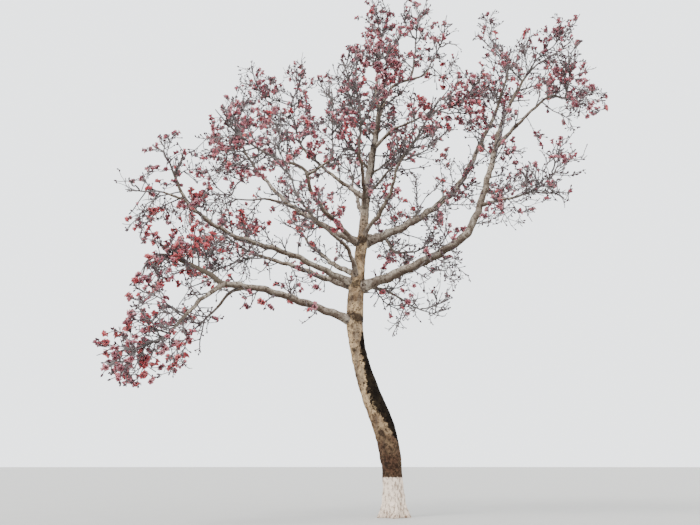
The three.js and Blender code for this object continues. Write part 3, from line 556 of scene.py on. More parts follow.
def framesOf(paths, firstWay=None):  # way along, side and across at each ring, without twist
    along = np.empty_like(paths)
    along[:, 1:-1] = paths[:, 2:] - paths[:, :-2]
    along[:, 0] = paths[:, 1] - paths[:, 0]
    along[:, -1] = paths[:, -1] - paths[:, -2]
    along = unit(along)
    if firstWay is not None:
        along[:, 0] = firstWay
    side = np.empty_like(paths)
    last = np.cross((0.0, 1.0, 0.0), along[:, 0])
    last[np.linalg.norm(last, axis=1) < 0.1] = (1, 0, 0)  # where a path starts out along Y
    for ring in range(paths.shape[1]):
        way = along[:, ring]
        last = unit(last - way * (last * way).sum(1, keepdims=True))
        side[:, ring] = last
    return along, side, np.cross(side, along)


def limbOf(centres, radii, firstWay=None):
    centres = np.array(centres, float)
    along, side, across = framesOf(centres[None], firstWay)
    return {"centre": centres, "radius": np.array(radii, float),
            "along": along[0], "side": side[0], "across": across[0]}


def limbAlongRuns(piece, step):  # from the piece's start, the way there, its runs and its radii
    start, runs, radii = piece["start"], piece["runs"], piece["radii"]
    corners = [start - piece["way"] * runs[0][0], start]
    for length, bearing, rise in runs:
        corners.append(corners[-1] + headingOf(bearing, rise) * length)
    total = sum(run[0] for run in runs)
    centres, widths, covered = [start], [radii[0]], 0
    for index, (length, _, _) in enumerate(runs):
        divisions = max(1, math.floor(length / step + 0.5))
        for part in range(1, divisions + 1):
            centres.append(curvePoint(corners, index + 1, part / divisions))
            share = (covered + length * part / divisions) / total
            widths.append(radii[0] + (radii[1] - radii[0]) * share)
        covered += length
    return limbOf(centres, widths, piece["way"])


def lengthsOf(centres):
    return np.concatenate(([0], np.cumsum(np.linalg.norm(np.diff(centres, axis=0), axis=1))))


def pointAlong(limb, share):
    covered = lengthsOf(limb["centre"])
    return np.array([np.interp(share * covered[-1], covered, axis) for axis in limb["centre"].T])


def pointAtHeight(limb, height):
    return np.array([np.interp(height, limb["centre"][:, 2], axis) for axis in limb["centre"].T])


def trunkLimb(perStation):
    stations = np.array(trunkPiece["stations"])
    corners = stations[:, [1, 2, 0]]
    centres, radii = [], []
    for index in range(len(stations) - 1):
        for part in range(perStation):
            share = part / perStation
            centres.append(curvePoint(corners, index, share))
            radii.append(stations[index, 3] * (1 - share) + stations[index + 1, 3] * share)
    return limbOf([*centres, corners[-1]], [*radii, stations[-1, 3]], headingOf(0, 90))


def startOf(parent, share, height, runs):  # a share of 1 goes on from the parent's end
    if share == 1:
        return parent["centre"][-1] + parent["along"][-1] * twigRule["seam"], parent["along"][-1]
    start = pointAtHeight(parent, height) if height else pointAlong(parent, share)
    return start, headingOf(*runs[0][1:])


# The limbs as coarse as in the source, for its rule on space.
limbs = {"trunk": trunkLimb(twigRule["trunkParts"])}
for name, bough in boughPieces.items():
    bough["start"], bough["way"] = startOf(
        limbs[bough["parent"]], bough.get("share"), bough.get("height"), bough["runs"])
    limbs[name] = limbAlongRuns(bough, twigRule["boughStep"])


def massOn(name, parent, share, height, runs, radius, reach):  # one of the source's masses, and its stem
    start, way = startOf(parent, share, height, runs)
    mass = {"name": name, "start": start, "way": way, "runs": runs, "radii": (radius, twigRule["tip"]),
            "reach": reach}
    mass["stem"] = limbAlongRuns(mass, twigRule["stemStep"])
    return mass


masses = [
    massOn(name.replace("bough_", "twigs_").replace("leader_", "twigs_leader_"), limbs[name], 1, None,
           bough["stem"], limbs[name]["radius"][-1], bough.get("reach", twigRule["reach"]))
    for name, bough in boughPieces.items() if "stem" in bough
]
masses += [
    massOn("twigs_" + name, limbs["trunk"], None, small["height"],
           small["stem"], small["radius"], twigRule["reach"])
    for name, small in trunkStems.items()
]

# Every limb and then every stem, as straight stretches for measuring distances.
homes = list(limbs.values()) + [mass["stem"] for mass in masses]
homeNames = [*limbs, *[mass["name"] for mass in masses]]
homeNumber = {name: number for number, name in enumerate(homeNames)}
net = {
    "low": np.concatenate([home["centre"][:-1] for home in homes]),
    "run": np.concatenate([np.diff(home["centre"], axis=0) for home in homes]),
    "radius": np.concatenate([home["radius"][:-1] for home in homes]),
    "taper": np.concatenate([np.diff(home["radius"]) for home in homes]),
    "first": np.cumsum([0] + [len(home["centre"]) - 1 for home in homes[:-1]]),
}
net["square"] = (net["run"] ** 2).sum(1)


def isFree(points, home, radius, reach, roams):  # clear of limbs, and nearer to its own stem than to another
    free, batch = np.zeros(len(points), bool), 4000  # so many points at a time, to save memory
    room = radius + twigRule["clearance"]
    for first in range(0, len(points), batch):
        rows = slice(first, first + batch)
        away = points[rows, None] - net["low"]
        part = np.clip((away * net["run"]).sum(2) / net["square"], 0, 1)
        gap = np.linalg.norm(away - part[..., None] * net["run"], axis=2)
        axis = np.minimum.reduceat(gap, net["first"], axis=1)
        skin = np.minimum.reduceat(gap - net["radius"] - part * net["taper"], net["first"], axis=1)
        each = np.arange(len(axis))
        own = axis[each, home[rows]]
        axis[each, home[rows]] = np.inf
        skin[each, home[rows]] = np.inf
        inside = (own <= reach[rows]) & ((axis[:, len(limbs):] - own[:, None]).min(1) > 2 * room)
        clear = (skin[:, :len(limbs)].min(1) >= room) & (points[rows, 2] >= room)
        free[rows] = clear & (inside | roams[rows])
    return free


def freeCount(paths, home, radius, reach, roams, shares):  # how many stretches from the base are free
    low, high = paths[:, :-1], paths[:, 1:]
    checks = np.stack([low + (high - low) * share for share in shares], 2)
    many = checks.shape[1] * checks.shape[2]
    clear = isFree(checks.reshape(-1, 3), np.repeat(home, many), radius,
                   np.repeat(reach, many), np.repeat(roams, many))
    clear = clear.reshape(checks.shape[:3]).all(2)
    return np.cumprod(clear, axis=1).sum(1)


def branchWay(along, side, across, turn, spread):
    turn, spread = np.radians(turn), np.radians(spread)
    return (along * np.cos(spread)[..., None] + side * (np.sin(spread) * np.cos(turn))[..., None]
            + across * (np.sin(spread) * np.sin(turn))[..., None])


def ruleTwigCentres(start, way, length, segments, draw):
    centres, way = [start], way.copy()
    for _ in range(segments):
        way[0] += twigRule["wander"] * (next(draw) - 0.5)
        way[1] += twigRule["wander"] * (next(draw) - 0.5)
        way[2] += twigRule["wander"] * (next(draw) - 0.5) + twigRule["lift"]
        way = unit(way)
        centres.append(centres[-1] + way * (length / segments))
    return np.array(centres)


def ruleTwigs(number, mass):  # the twigs of the source, in its order of draws
    draw = seededRandom(twigRule["seed"] + twigRule["seedStep"] * number)
    stem, rule = mass["stem"], twigRule
    length = lengthsOf(stem["centre"])[-1]
    count = math.floor((length - rule["first"]) * rule["perMetre"] + 0.5)
    home, reach, roams = np.array([homeNumber[mass["name"]]]), np.array([mass["reach"]]), np.array([False])
    twigs = []

    def freeStretches(centres):
        return freeCount(centres[None], home, rule["radii"][0], reach, roams, rule["checks"])[0]

    def sectionWay(limb, share, turn, spread):
        last = len(limb["centre"]) - 1
        near = min(last, math.floor(share * last + 0.5))
        return branchWay(limb["along"][near], limb["side"][near], limb["across"][near],
                         np.array(turn), np.array(spread))

    for index in range(count):
        share = (rule["first"] + (index + 0.5) * (length - rule["first"]) / count) / length
        turn = index * rule["turn"] + between(rule["turnPlay"], draw)
        spread = rule["spread"] * (1 - rule["spreadLoss"] * share) * between(rule["spreadPlay"], draw)
        span = mass["reach"] * (1 - rule["reachLoss"] * share) * between(rule["reachPlay"], draw)
        way = sectionWay(stem, share, turn, spread)
        centres = ruleTwigCentres(pointAlong(stem, share), way, span, rule["segments"], draw)
        kept = freeStretches(centres)
        free = centres[:kept + 1] if kept else centres
        twig = limbOf(free, np.linspace(*rule["radii"], len(free)))
        forkWay = sectionWay(twig, rule["forkShare"], between(rule["forkTurns"], draw), rule["forkSpread"])
        forkSpan = span * between(rule["forkLengths"], draw)
        forkStart = pointAlong(twig, rule["forkShare"])
        fork = ruleTwigCentres(forkStart, forkWay, forkSpan, rule["forkSegments"], draw)
        if kept:
            twigs.append((free, rule["radii"]))
            if freeStretches(fork):
                twigs.append((fork, rule["forkRadii"]))
    return twigs


# Finer growth on stems, limbs, side branches and the rule's twigs. Each habit says how many twigs there are
# for each metre of the parent, on which share of it, and their lengths, angles, bends and radii.
fineGrowth = {
    "seed": 41, "stemStep": 0.2, "stemWobble": 0.02, "twigParts": 6, "twigWobble": 0.03, "sideParts": 3,
    "stemSides": 9, "twigSides": 6, "boxMargin": 0.02, "lowestSprout": 8.6, "sproutReach": 1.7,
    "sideReach": 2.0, "sideWobble": 0.02, "sideTaper": 0.55, "turnPlay": 30,
    "rooting": 0.06, "stemBase": 0.8,  # how far inside its limb a stem begins, and how thick it is there
    "thicker": 1.4, "slimmer": 0.85,  # radii against the source's twigs, and against a parent's
    "fullest": 2, "evening": 0.5,  # the densest growth, and how far an uneven spot counts
    "checks": (0.5, 1), "limbRadius": 0.06,  # where stretches are tested, and where bark looks like a limb's
    "shoots": {"perMetre": 2.6, "from": 0.06, "to": 0.97, "length": (0.5, 1.3), "loss": 0.35,
               "spread": (42, 66), "segments": 8, "wander": 0.34, "lift": 0.07,
               "radii": (0.03, 0.018), "sides": 6},
    "sideShoots": {"perMetre": 2.7, "from": 0.15, "to": 0.98, "length": (0.35, 0.95), "loss": 0.3,
                   "spread": (36, 62), "segments": 6, "wander": 0.38, "lift": 0.08,
                   "radii": (0.027, 0.017), "sides": 5},
    "sprouts": {"perMetre": 1.7, "from": 0.3, "to": 0.98, "length": (0.6, 1.8), "loss": 0.1,
                "spread": (48, 75), "segments": 8, "wander": 0.36, "lift": 0.09,
                "radii": (0.028, 0.017), "sides": 6},
    "branchlets": {"perMetre": 3.4, "from": 0.2, "to": 1.0, "length": (0.26, 0.75), "loss": 0.3,
                   "spread": (34, 62), "segments": 5, "wander": 0.44, "lift": 0.1,
                   "radii": (0.021, 0.014), "sides": 4},
    "spurs": {"perMetre": 3.0, "from": 0.18, "to": 1.0, "length": (0.1, 0.28), "loss": 0.15,
              "spread": (30, 60), "segments": 2, "wander": 0.4, "lift": 0.2,
              "radii": (0.015, 0.012), "sides": 4},
}


def wobbled(path, amount, draw):
    shift = draw.normal(0, amount, path.shape)
    shift[1:] = (shift[1:] + shift[:-1]) / 2  # neighbours move together
    path = path.copy()
    path[1:-1] += shift[1:-1]
    return path


def refined(path, parts):
    finer = [curvePoint(path, index, part / parts) for index in range(len(path) - 1) for part in range(parts)]
    return np.array([*finer, path[-1]])


def inBox(paths):
    low, high = cadBox[0] - fineGrowth["boxMargin"], cadBox[1] + fineGrowth["boxMargin"]
    return np.cumprod(((paths[:, 1:] > low) & (paths[:, 1:] < high)).all(2), axis=1).sum(1)


def seenAt(points):  # where the line of sight from the camera meets the trunk's plane
    eye = np.array(cameraSetup["place"])
    away = points - eye
    return (eye + away * (-eye[1] / away[..., 1:2]))[..., [0, 2]]


def withinSpots(points, spots):
    spots = np.array(spots)
    return np.linalg.norm(seenAt(points)[..., None, :] - spots[:, :2], axis=-1) < spots[:, 2]


densityColumns = {"growth": 3, "blossom": 4}  # of the uneven spots


def densityAt(points, kind):
    times = np.array([spot[densityColumns[kind]] for spot in unevenSpots])
    return np.where(withinSpots(points, unevenSpots), times, 1).prod(-1)


def openCount(paths):  # how many stretches from the base stay out of the gaps
    return np.cumprod(~withinSpots(paths[:, 1:], crownGaps).any(-1), axis=1).sum(1)


# Home is the nearest limb or stem and reach is how far from it a twig may go, unless it roams.
def twigOf(path, radii, home, reach, sides=None, roams=False, parent=None):
    return {"path": path, "radii": radii, "home": home, "reach": reach, "sides": sides,
            "roams": roams, "parent": parent}


def growOn(parents, habit, draw):  # new twigs all along their parents
    rows = []
    for number, parent in enumerate(parents):
        path = parent["path"]
        covered = lengthsOf(path)
        count = int(covered[-1] * habit["perMetre"] * fineGrowth["fullest"] + draw.random())
        if not count:
            continue
        share = np.arange(count) + draw.random(count)
        share = habit["from"] + (habit["to"] - habit["from"]) * share / count
        near = (share * (len(path) - 1)).round().astype(int)
        along, side, across = (way[0, near] for way in framesOf(path[None]))
        turn = (360 * draw.random() + twigRule["turn"] * np.arange(count)
                + fineGrowth["turnPlay"] * draw.random(count))
        way = branchWay(along, side, across, turn, draw.uniform(*habit["spread"], count))
        width = np.interp(share, np.linspace(0, 1, len(path)), parent["radii"])
        base = np.stack([np.interp(share * covered[-1], covered, axis) for axis in path.T], 1)
        length = draw.uniform(*habit["length"], count) * (1 - habit["loss"] * share)
        wanted = densityAt(base, "growth") ** fineGrowth["evening"]
        kept = draw.random(count) * fineGrowth["fullest"] < wanted
        width = np.minimum(habit["radii"][0], fineGrowth["slimmer"] * width)
        rows.append([column[kept] for column in (base, way, length, width, np.full(count, number))])
    base, way, length, width, owner = (np.concatenate(column) for column in zip(*rows))
    home, reach, roams = (np.array([parent[key] for parent in parents])[owner]
                          for key in ("home", "reach", "roams"))
    centres = [base]
    for step in range(habit["segments"]):
        way = way + habit["wander"] * (draw.random(way.shape) - 0.5)
        way[:, 2] += habit["lift"] * (1 + step) / habit["segments"]
        way = unit(way)
        centres.append(centres[-1] + way * (length / habit["segments"])[:, None])
    paths = np.stack(centres, 1)
    kept = freeCount(paths, home, habit["radii"][0], reach, roams, fineGrowth["checks"])
    kept = np.minimum.reduce((kept, inBox(paths), openCount(paths)))
    grown = []
    for number in np.flatnonzero(kept > 1):
        rings = kept[number] + 1
        radii = np.linspace(width[number], habit["radii"][1], rings)
        grown.append(twigOf(paths[number, :rings], radii, home[number], reach[number],
                            habit["sides"], roams[number], owner[number]))
    return grown


draw = np.random.default_rng(fineGrowth["seed"])
stems, ruled = [], []
for number, mass in enumerate(masses):
    home = homeNumber[mass["name"]]
    fine = limbAlongRuns(mass, fineGrowth["stemStep"])
    path = wobbled(fine["centre"], fineGrowth["stemWobble"], draw)
    inner = path[0] - mass["way"] * fineGrowth["rooting"]
    radii = np.array([fineGrowth["stemBase"] * fine["radius"][0], *fine["radius"]])
    stems.append(twigOf(np.array([inner, *path]), radii, home, mass["reach"], fineGrowth["stemSides"]))
    for path, radii in ruleTwigs(number, mass):
        path = wobbled(refined(path, fineGrowth["twigParts"]), fineGrowth["twigWobble"], draw)
        radii = fineGrowth["thicker"] * np.linspace(*radii, len(path))
        kept = openCount(path[None])[0] + 1
        if kept > 2:
            ruled.append(twigOf(path[:kept], radii[:kept], home, mass["reach"], fineGrowth["twigSides"]))
sides = []
for millimetres, *route in sideBranches:
    route, wide = np.array(route) / 100, millimetres / 1000
    path = wobbled(refined(route, fineGrowth["sideParts"]), fineGrowth["sideWobble"], draw)
    middle = path[len(path) // 2]
    gaps = [np.linalg.norm(mass["stem"]["centre"] - middle, axis=1).min() for mass in masses]
    home = len(limbs) + int(np.argmin(gaps))
    radii = np.linspace(wide, fineGrowth["sideTaper"] * wide, len(path))
    sides.append(twigOf(path, radii, home, fineGrowth["sideReach"], fineGrowth["twigSides"], True))
print("twigs of the rule", len(ruled), "side branches", len(sides))

hosts = []
for name, limb in limbs.items():
    bearing = (limb["centre"][:, 2] > fineGrowth["lowestSprout"]) | (name != "trunk")
    hosts.append(twigOf(limb["centre"][bearing], limb["radius"][bearing], homeNumber[name],
                        fineGrowth["sproutReach"]))
shoots = [*growOn(stems, fineGrowth["shoots"], draw), *growOn(sides, fineGrowth["sideShoots"], draw)]
sprouts = growOn(hosts, fineGrowth["sprouts"], draw)
branches = [*ruled, *sides, *shoots, *sprouts]
branchlets = growOn([*stems, *branches], fineGrowth["branchlets"], draw)
carriers = [*branches, *branchlets]
spurs = growOn(carriers, fineGrowth["spurs"], draw)
print("shoots", len(shoots), "sprouts", len(sprouts), "branchlets", len(branchlets), "spurs", len(spurs))


def deselectAll():
    bpy.ops.object.select_all(action="DESELECT")


def straightTube(name, sides, rings):
    deselectAll()
    bpy.ops.mesh.primitive_circle_add(vertices=sides, radius=1, fill_type="NGON")
    bpy.ops.object.mode_set(mode="EDIT")
    bpy.ops.mesh.select_all(action="SELECT")
    bpy.ops.mesh.extrude_repeat(steps=rings - 1, offset=(0, 0, 1))
    bpy.ops.object.mode_set(mode="OBJECT")
    bpy.ops.object.shade_smooth()
    bpy.context.object.name = name
    return bpy.context.object


def ringOf(points):  # the rings of a straight tube stand a metre apart
    return points[:, 2].round().astype(int)


def pointsOf(piece):
    points = np.empty(len(piece.data.vertices) * 3, np.float32)
    piece.data.vertices.foreach_get("co", points)
    return points.reshape(-1, 3).astype(float)


def placePoints(piece, points):
    piece.data.vertices.foreach_set("co", points.astype(np.float32).ravel())
    piece.data.update()


def markPoints(piece, name, values):
    attribute = piece.data.attributes.new(name, "FLOAT", "POINT")
    attribute.data.foreach_set("value", np.clip(values, 0, 1).astype(np.float32))


def takeModel(piece):  # keeps a finished model's points and faces, for many copies in one mesh
    mesh = piece.data
    corners, sizes = np.empty(len(mesh.loops), np.int32), np.empty(len(mesh.polygons), np.int32)
    mesh.loops.foreach_get("vertex_index", corners)
    mesh.polygons.foreach_get("loop_total", sizes)
    model = {"points": pointsOf(piece), "corners": corners, "sizes": sizes}
    bpy.data.objects.remove(piece)
    return model


def joinCopies(name, batches):  # each batch is a model and the points of its copies
    points, corners, sizes, first = [], [], [], 0
    for model, placed in batches:
        starts = first + np.arange(len(placed)) * placed.shape[1]
        points.append(placed.reshape(-1, 3))
        corners.append((starts[:, None] + model["corners"]).ravel())
        sizes.append(np.tile(model["sizes"], len(placed)))
        first += placed.shape[0] * placed.shape[1]
    points, corners, sizes = (np.concatenate(column) for column in (points, corners, sizes))
    mesh = bpy.data.meshes.new(name)
    mesh.vertices.add(len(points))
    mesh.vertices.foreach_set("co", points.astype(np.float32).ravel())
    mesh.loops.add(len(corners))
    mesh.loops.foreach_set("vertex_index", corners.astype(np.int32))
    mesh.polygons.add(len(sizes))
    mesh.polygons.foreach_set("loop_start", (np.cumsum(sizes) - sizes).astype(np.int32))
    mesh.polygons.foreach_set("use_smooth", np.ones(len(sizes), bool))
    mesh.update(calc_edges=True)
    mesh.validate()
    piece = bpy.data.objects.new(name, mesh)
    bpy.context.collection.objects.link(piece)
    return piece


def trianglesOf(piece):
    return sum(len(face.vertices) - 2 for face in piece.data.polygons)


tubeModels = {}


def tubesAlong(paths, radii, sides):  # a straight tube's copies, each bent onto its path
    rings = paths.shape[1]
    if (rings, sides) not in tubeModels:
        tubeModels[rings, sides] = takeModel(straightTube("tubeModel", sides, rings))
    model = tubeModels[rings, sides]
    flat = model["points"]
    ring = ringOf(flat)
    _, side, across = framesOf(paths)
    width = radii[:, ring, None]
    spoke = side[:, ring] * flat[:, :1] - across[:, ring] * flat[:, 1:2]
    return model, paths[:, ring] + spoke * width, radii[:, ring]


def twigMesh(name, twigs):
    alike = {}
    for twig in twigs:
        alike.setdefault((len(twig["path"]), twig["sides"]), []).append(twig)
    batches, widths = [], []
    for (_, sides), group in sorted(alike.items()):
        paths = np.stack([twig["path"] for twig in group])
        radii = np.stack([twig["radii"] for twig in group])
        model, placed, width = tubesAlong(paths, radii, sides)
        batches.append((model, placed))
        widths.append(width.ravel())
    piece = joinCopies(name, batches)
    markPoints(piece, "slender", 1 - np.concatenate(widths) / fineGrowth["limbRadius"])
    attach(piece, "root")
    return piece


crownSides = {
    "leftTwigs": ("low_left", "low_drooping", "low_back", "left", "left_outer", "left_back",
                  "mid_left", "mid_left_low", "high_left", "back_left"),
    "frontTwigs": ("front_left", "mid_front_left", "mid_front_fork", "front_right", "front",
                   "high_front", "top_front"),
    "rightTwigs": ("right_upright", "mid_right", "top_right", "far_right", "right_low",
                   "right_drooping", "high_right"),
    "topTwigs": ("back_right", "back", "leader_left", "leader_right", "leader_far_right",
                 "high_back", "top_left", "top_back"),
}
allTwigs = [*stems, *branches, *branchlets, *spurs]
twigPieces = [twigMesh("sproutTwigs", [twig for twig in allTwigs if twig["home"] < len(limbs)])]
for side, names in crownSides.items():
    inside = {homeNumber["twigs_" + name] for name in names}
    piece = twigMesh(side, [twig for twig in allTwigs if twig["home"] in inside])
    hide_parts(*["twigs_" + name for name in names])
    twigPieces.append(piece)
print("twigs joined", [(piece.name, trianglesOf(piece)) for piece in twigPieces])

# Trunk and boughs: tubes by repeated extrusion, bent onto their limbs and given bark relief.
barkRelief = {
    "trunkLumps": {"kind": "CLOUDS", "scale": 0.3, "strength": 0.05, "stretch": 1.5},
    "trunkFurrows": {"kind": "VORONOI", "scale": 0.075, "strength": 0.028, "stretch": 2.6},
    "trunkGrain": {"kind": "CLOUDS", "scale": 0.045, "strength": 0.016, "stretch": 1.2},
    "boughLumps": {"kind": "CLOUDS", "scale": 0.2, "strength": 0.034, "stretch": 1},
    "boughGrain": {"kind": "CLOUDS", "scale": 0.05, "strength": 0.012, "stretch": 1},
}


def addRelief(piece, names):
    for name in names:
        look = barkRelief[name]
        texture = bpy.data.textures.new(name, look["kind"])
        texture.noise_scale = look["scale"]
        deselectAll()
        bpy.ops.object.empty_add()
        guide = bpy.context.object
        guide.scale = (1, 1, look["stretch"])
        bpy.context.view_layer.update()
        guide.select_set(False)
        piece.select_set(True)
        bpy.context.view_layer.objects.active = piece
        bpy.ops.object.modifier_add(type="DISPLACE")
        modifier = piece.modifiers[-1]
        modifier.texture, modifier.strength = texture, look["strength"]
        modifier.texture_coords, modifier.texture_coords_object = "OBJECT", guide
        bpy.ops.object.modifier_apply(modifier=modifier.name)
        bpy.data.objects.remove(guide)


def hill(distance):  # 1 in the middle, fading evenly
    return np.exp(-distance ** 2)


def bendOnto(piece, limb, widen):
    flat = pointsOf(piece)
    ring = ringOf(flat)
    width = (limb["radius"][ring] * widen(ring, np.arctan2(-flat[:, 1], flat[:, 0])))[:, None]
    spoke = limb["side"][ring] * flat[:, :1] - limb["across"][ring] * flat[:, 1:2]
    placePoints(piece, limb["centre"][ring] + spoke * width)


stations = np.array(trunkPiece["stations"])
coarse = trunkLimb(trunkPiece["partsPerStation"])["centre"]
covered = lengthsOf(coarse)
even = np.append(np.arange(0, covered[-1], trunkPiece["ringStep"]), covered[-1])
centres = np.stack([np.interp(even, covered, axis) for axis in coarse.T], 1)
radii = np.interp(centres[:, 2], stations[:, 0], stations[:, 3])
ease = np.hanning(trunkPiece["smoothed"])
half = len(ease) // 2
radii[half:-half] = np.convolve(radii, ease / ease.sum(), "valid")
trunk = limbOf(centres, radii, headingOf(0, 90))


def scarAt(height, angle, level):
    return height - level - trunkPiece["scarWave"] * np.sin(angle * 2 + level)


def trunkWidth(ring, angle):
    height = trunk["centre"][ring, 2]
    flare = trunkPiece["lobeDepth"] * np.exp(-height / trunkPiece["lobeHeight"])
    width = 1 + flare * np.cos(trunkPiece["lobes"] * (angle - math.radians(trunkPiece["lobeTurn"])))
    for level, size in trunkPiece["scars"]:
        lumps = 1 + trunkPiece["scarLumps"] * np.sin(3 * angle + 5 * level)
        width += size * lumps * hill(scarAt(height, angle, level) / trunkPiece["scarRise"])
    return width


def bearingRound(points):  # bearing in degrees and way out from the trunk's middle
    middle = np.stack([np.interp(points[:, 2], trunk["centre"][:, 2], trunk["centre"][:, axis])
                       for axis in (0, 1)], 1)
    away = points[:, :2] - middle
    return np.degrees(np.arctan2(away[:, 1], away[:, 0])), away, np.linalg.norm(away, axis=1)


def acrossFrom(bearing, turn, radius):  # metres round the trunk from a bearing
    return np.radians((bearing - turn + 180) % 360 - 180) * radius


trunkBark = straightTube("trunkBark", trunkPiece["sides"], len(trunk["centre"]))
bendOnto(trunkBark, trunk, trunkWidth)
addRelief(trunkBark, trunkPiece["reliefs"])
points = pointsOf(trunkBark)
bearing, away, radius = bearingRound(points)
for height, turn, size in trunkPiece["knots"]:
    distance = np.hypot(acrossFrom(bearing, turn, radius), points[:, 2] - height) / size
    pit = trunkPiece["knotPit"] * hill(distance / trunkPiece["pitWidth"])
    lift = size * (trunkPiece["knotLump"] * hill(distance) - pit)
    points[:, :2] += away / np.maximum(radius, 0.01)[:, None] * lift[:, None]  # never divided by nothing
points[points[:, 2] < trunkPiece["flatCut"], 2] = 0
placePoints(trunkBark, points)

sootStreak = {
    "heights": (2.35, 2.8, 3.5, 4.3, 5.05, 5.6, 6.1), "bearings": (346, 334, 322, 322, 327, 322, 334),
    "widths": (0.12, 0.33, 0.48, 0.38, 0.22, 0.19, 0.07), "outside": 0.001,
}
streak = np.interp(points[:, 2], sootStreak["heights"], sootStreak["bearings"])
width = np.interp(points[:, 2], sootStreak["heights"], sootStreak["widths"],
                  sootStreak["outside"], sootStreak["outside"])
markPoints(trunkBark, "soot", hill(acrossFrom(bearing, streak, radius) / width))

scarStain = {"ring": 0.5, "ringRise": 0.22, "knot": 1.05, "knotWidth": 1.3}
scarAndShade = np.zeros(len(points))
for level, _ in trunkPiece["scars"]:
    near = scarAt(points[:, 2], np.radians(bearing), level)
    scarAndShade += scarStain["ring"] * hill(near / scarStain["ringRise"])
for height, turn, size in trunkPiece["knots"]:
    distance = np.hypot(acrossFrom(bearing, turn, radius), points[:, 2] - height)
    scarAndShade += scarStain["knot"] * hill(distance / (scarStain["knotWidth"] * size))
# Painted shade: a dark band goes into the scar marks down the trunk's right side from 11 m to 14.8 m, the
# side turned away from the light.
paintedShadeStreak = {"heights": (11, 11.6, 14, 14.8), "amounts": (0, 0.8, 0.8, 0), "bearing": 336, "width": 0.12}
paintedShade = np.interp(points[:, 2], paintedShadeStreak["heights"], paintedShadeStreak["amounts"])
scarAndShade += paintedShade * hill(acrossFrom(bearing, paintedShadeStreak["bearing"], radius) / paintedShadeStreak["width"])
markPoints(trunkBark, "scarAndShade", scarAndShade)
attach(trunkBark, "root")
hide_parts("trunk")
print("trunk", trianglesOf(trunkBark))

boughLook = {
    "step": 0.075, "sides": 16, "settle": 0.5,  # waves and ripples settle towards both ends
    "waves": ((0.018, 6.6), (0.011, 12.3)), "ripple": ((0.03, 5.3), (0.022, 12.1)),
    "rooting": 0.06, "base": 0.85, "branchBase": 0.5,  # how far inside its limb a bough begins, and how thick
    "collar": 0.42, "collarLength": 0.26, "collarInside": 0.1,
    # the collars' darkening is painted shade where a bough joins its parent, deeper on the lower boughs
    "collarShades": (0.7, 0.3), "shadeLightensAbove": 10.3,  # how dark a collar is, below and above this height
    "reliefs": ("boughLumps", "boughGrain"),
}
tubes = []
for number, bough in enumerate(boughPieces.values()):
    limb = limbAlongRuns(bough, boughLook["step"])
    covered = lengthsOf(limb["centre"])
    branched = bough.get("share") != 1
    rise = np.clip(np.minimum(covered, covered[-1] - covered) / boughLook["settle"], 0, 1)
    for amount, pace in boughLook["waves"]:
        limb["centre"] += limb["side"] * (amount * rise * np.sin(pace * covered + number))[:, None]
        limb["centre"] += limb["across"] * (amount * rise * np.cos(pace * covered + 2 * number))[:, None]
    swell = sum(amount * rise * np.sin(pace * covered + 3 * number) for amount, pace in boughLook["ripple"])
    parent = limbs[bough["parent"]]
    depth = parent["radius"][np.linalg.norm(parent["centre"] - bough["start"], axis=1).argmin()]
    past = covered - depth
    fall = np.where(past > 0, boughLook["collarLength"], boughLook["collarInside"])
    collar = np.array([0, *(branched * np.exp(-np.abs(past) / fall))])
    first = limb["centre"][0] - boughLook["rooting"] * limb["along"][0]
    base = limb["radius"][0] * boughLook["branchBase" if branched else "base"]
    grown = limbOf([first, *limb["centre"]], [base, *(limb["radius"] * (1 + swell))])
    tube = straightTube("tube" + str(number), boughLook["sides"], len(collar))
    ring = ringOf(pointsOf(tube))
    bendOnto(tube, grown, lambda rings, angle: 1 + boughLook["collar"] * collar[rings])
    # Painted shade where the bough joins its parent: its collar is darkened through the scar marks.
    collarShade = boughLook["collarShades"][int(bough["start"][2] > boughLook["shadeLightensAbove"])]
    markPoints(tube, "scarAndShade", collar[ring] * collarShade)
    tubes.append(tube)
deselectAll()
for tube in tubes:
    tube.select_set(True)
bpy.context.view_layer.objects.active = tubes[0]
bpy.ops.object.join()
boughBark = bpy.context.object
boughBark.name = "boughBark"
addRelief(boughBark, boughLook["reliefs"])
# The upward mark places the painted shade on the boughs' undersides.
facing = np.empty(len(boughBark.data.vertices) * 3, np.float32)
boughBark.data.vertices.foreach_get("normal", facing)
markPoints(boughBark, "upward", 0.5 + 0.5 * facing[2::3])  # 0 where the bark faces down, 1 where up
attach(boughBark, "root")
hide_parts(*boughPieces)
print("boughs", trianglesOf(boughBark))

# Blossom: one petal shaped from a sphere and spun into five, a calyx, a tuft of stamens and a bud.
blossomPieces = {
    # each ring of a petal: way out, height, tilt outwards, half width and half thickness
    "open": ((0.01, 0.022, 0, 1, 1), (0.03, 0.05, 40, 0.028, 0.007),
             (0.062, 0.076, 75, 0.037, 0.006), (0.09, 0.064, 0, 1, 1)),
    "cupped": ((0.01, 0.022, 0, 1, 1), (0.028, 0.055, 18, 0.027, 0.007),
               (0.046, 0.092, 38, 0.033, 0.006), (0.064, 0.112, 0, 1, 1)),
    "petals": 5, "petalSegments": 3, "petalRing": (0.75, 0.65),
    # each ring of a turned shape: height and radius
    "calyx": ((-0.012, 1), (0.012, 0.02), (0.036, 0.022), (0.03, 1)),
    "stamens": ((0.02, 1), (0.05, 0.01), (0.086, 0.019), (0.074, 1)),
    "bud": ((-0.01, 1), (0.008, 0.013), (0.028, 0.012), (0.044, 1)),
    "turnedSegments": 5, "turnedRing": math.sqrt(0.75),
    "rings": 3, "levels": (-1, -0.5, 0.5, 1), "near": 0.01, "aside": 5,
}


def selectLevel(piece, level):
    bpy.ops.mesh.select_all(action="DESELECT")
    bpy.ops.object.mode_set(mode="OBJECT")
    for vertex in piece.data.vertices:
        vertex.select = abs(vertex.co.z - level) <= blossomPieces["near"]
    bpy.ops.object.mode_set(mode="EDIT")


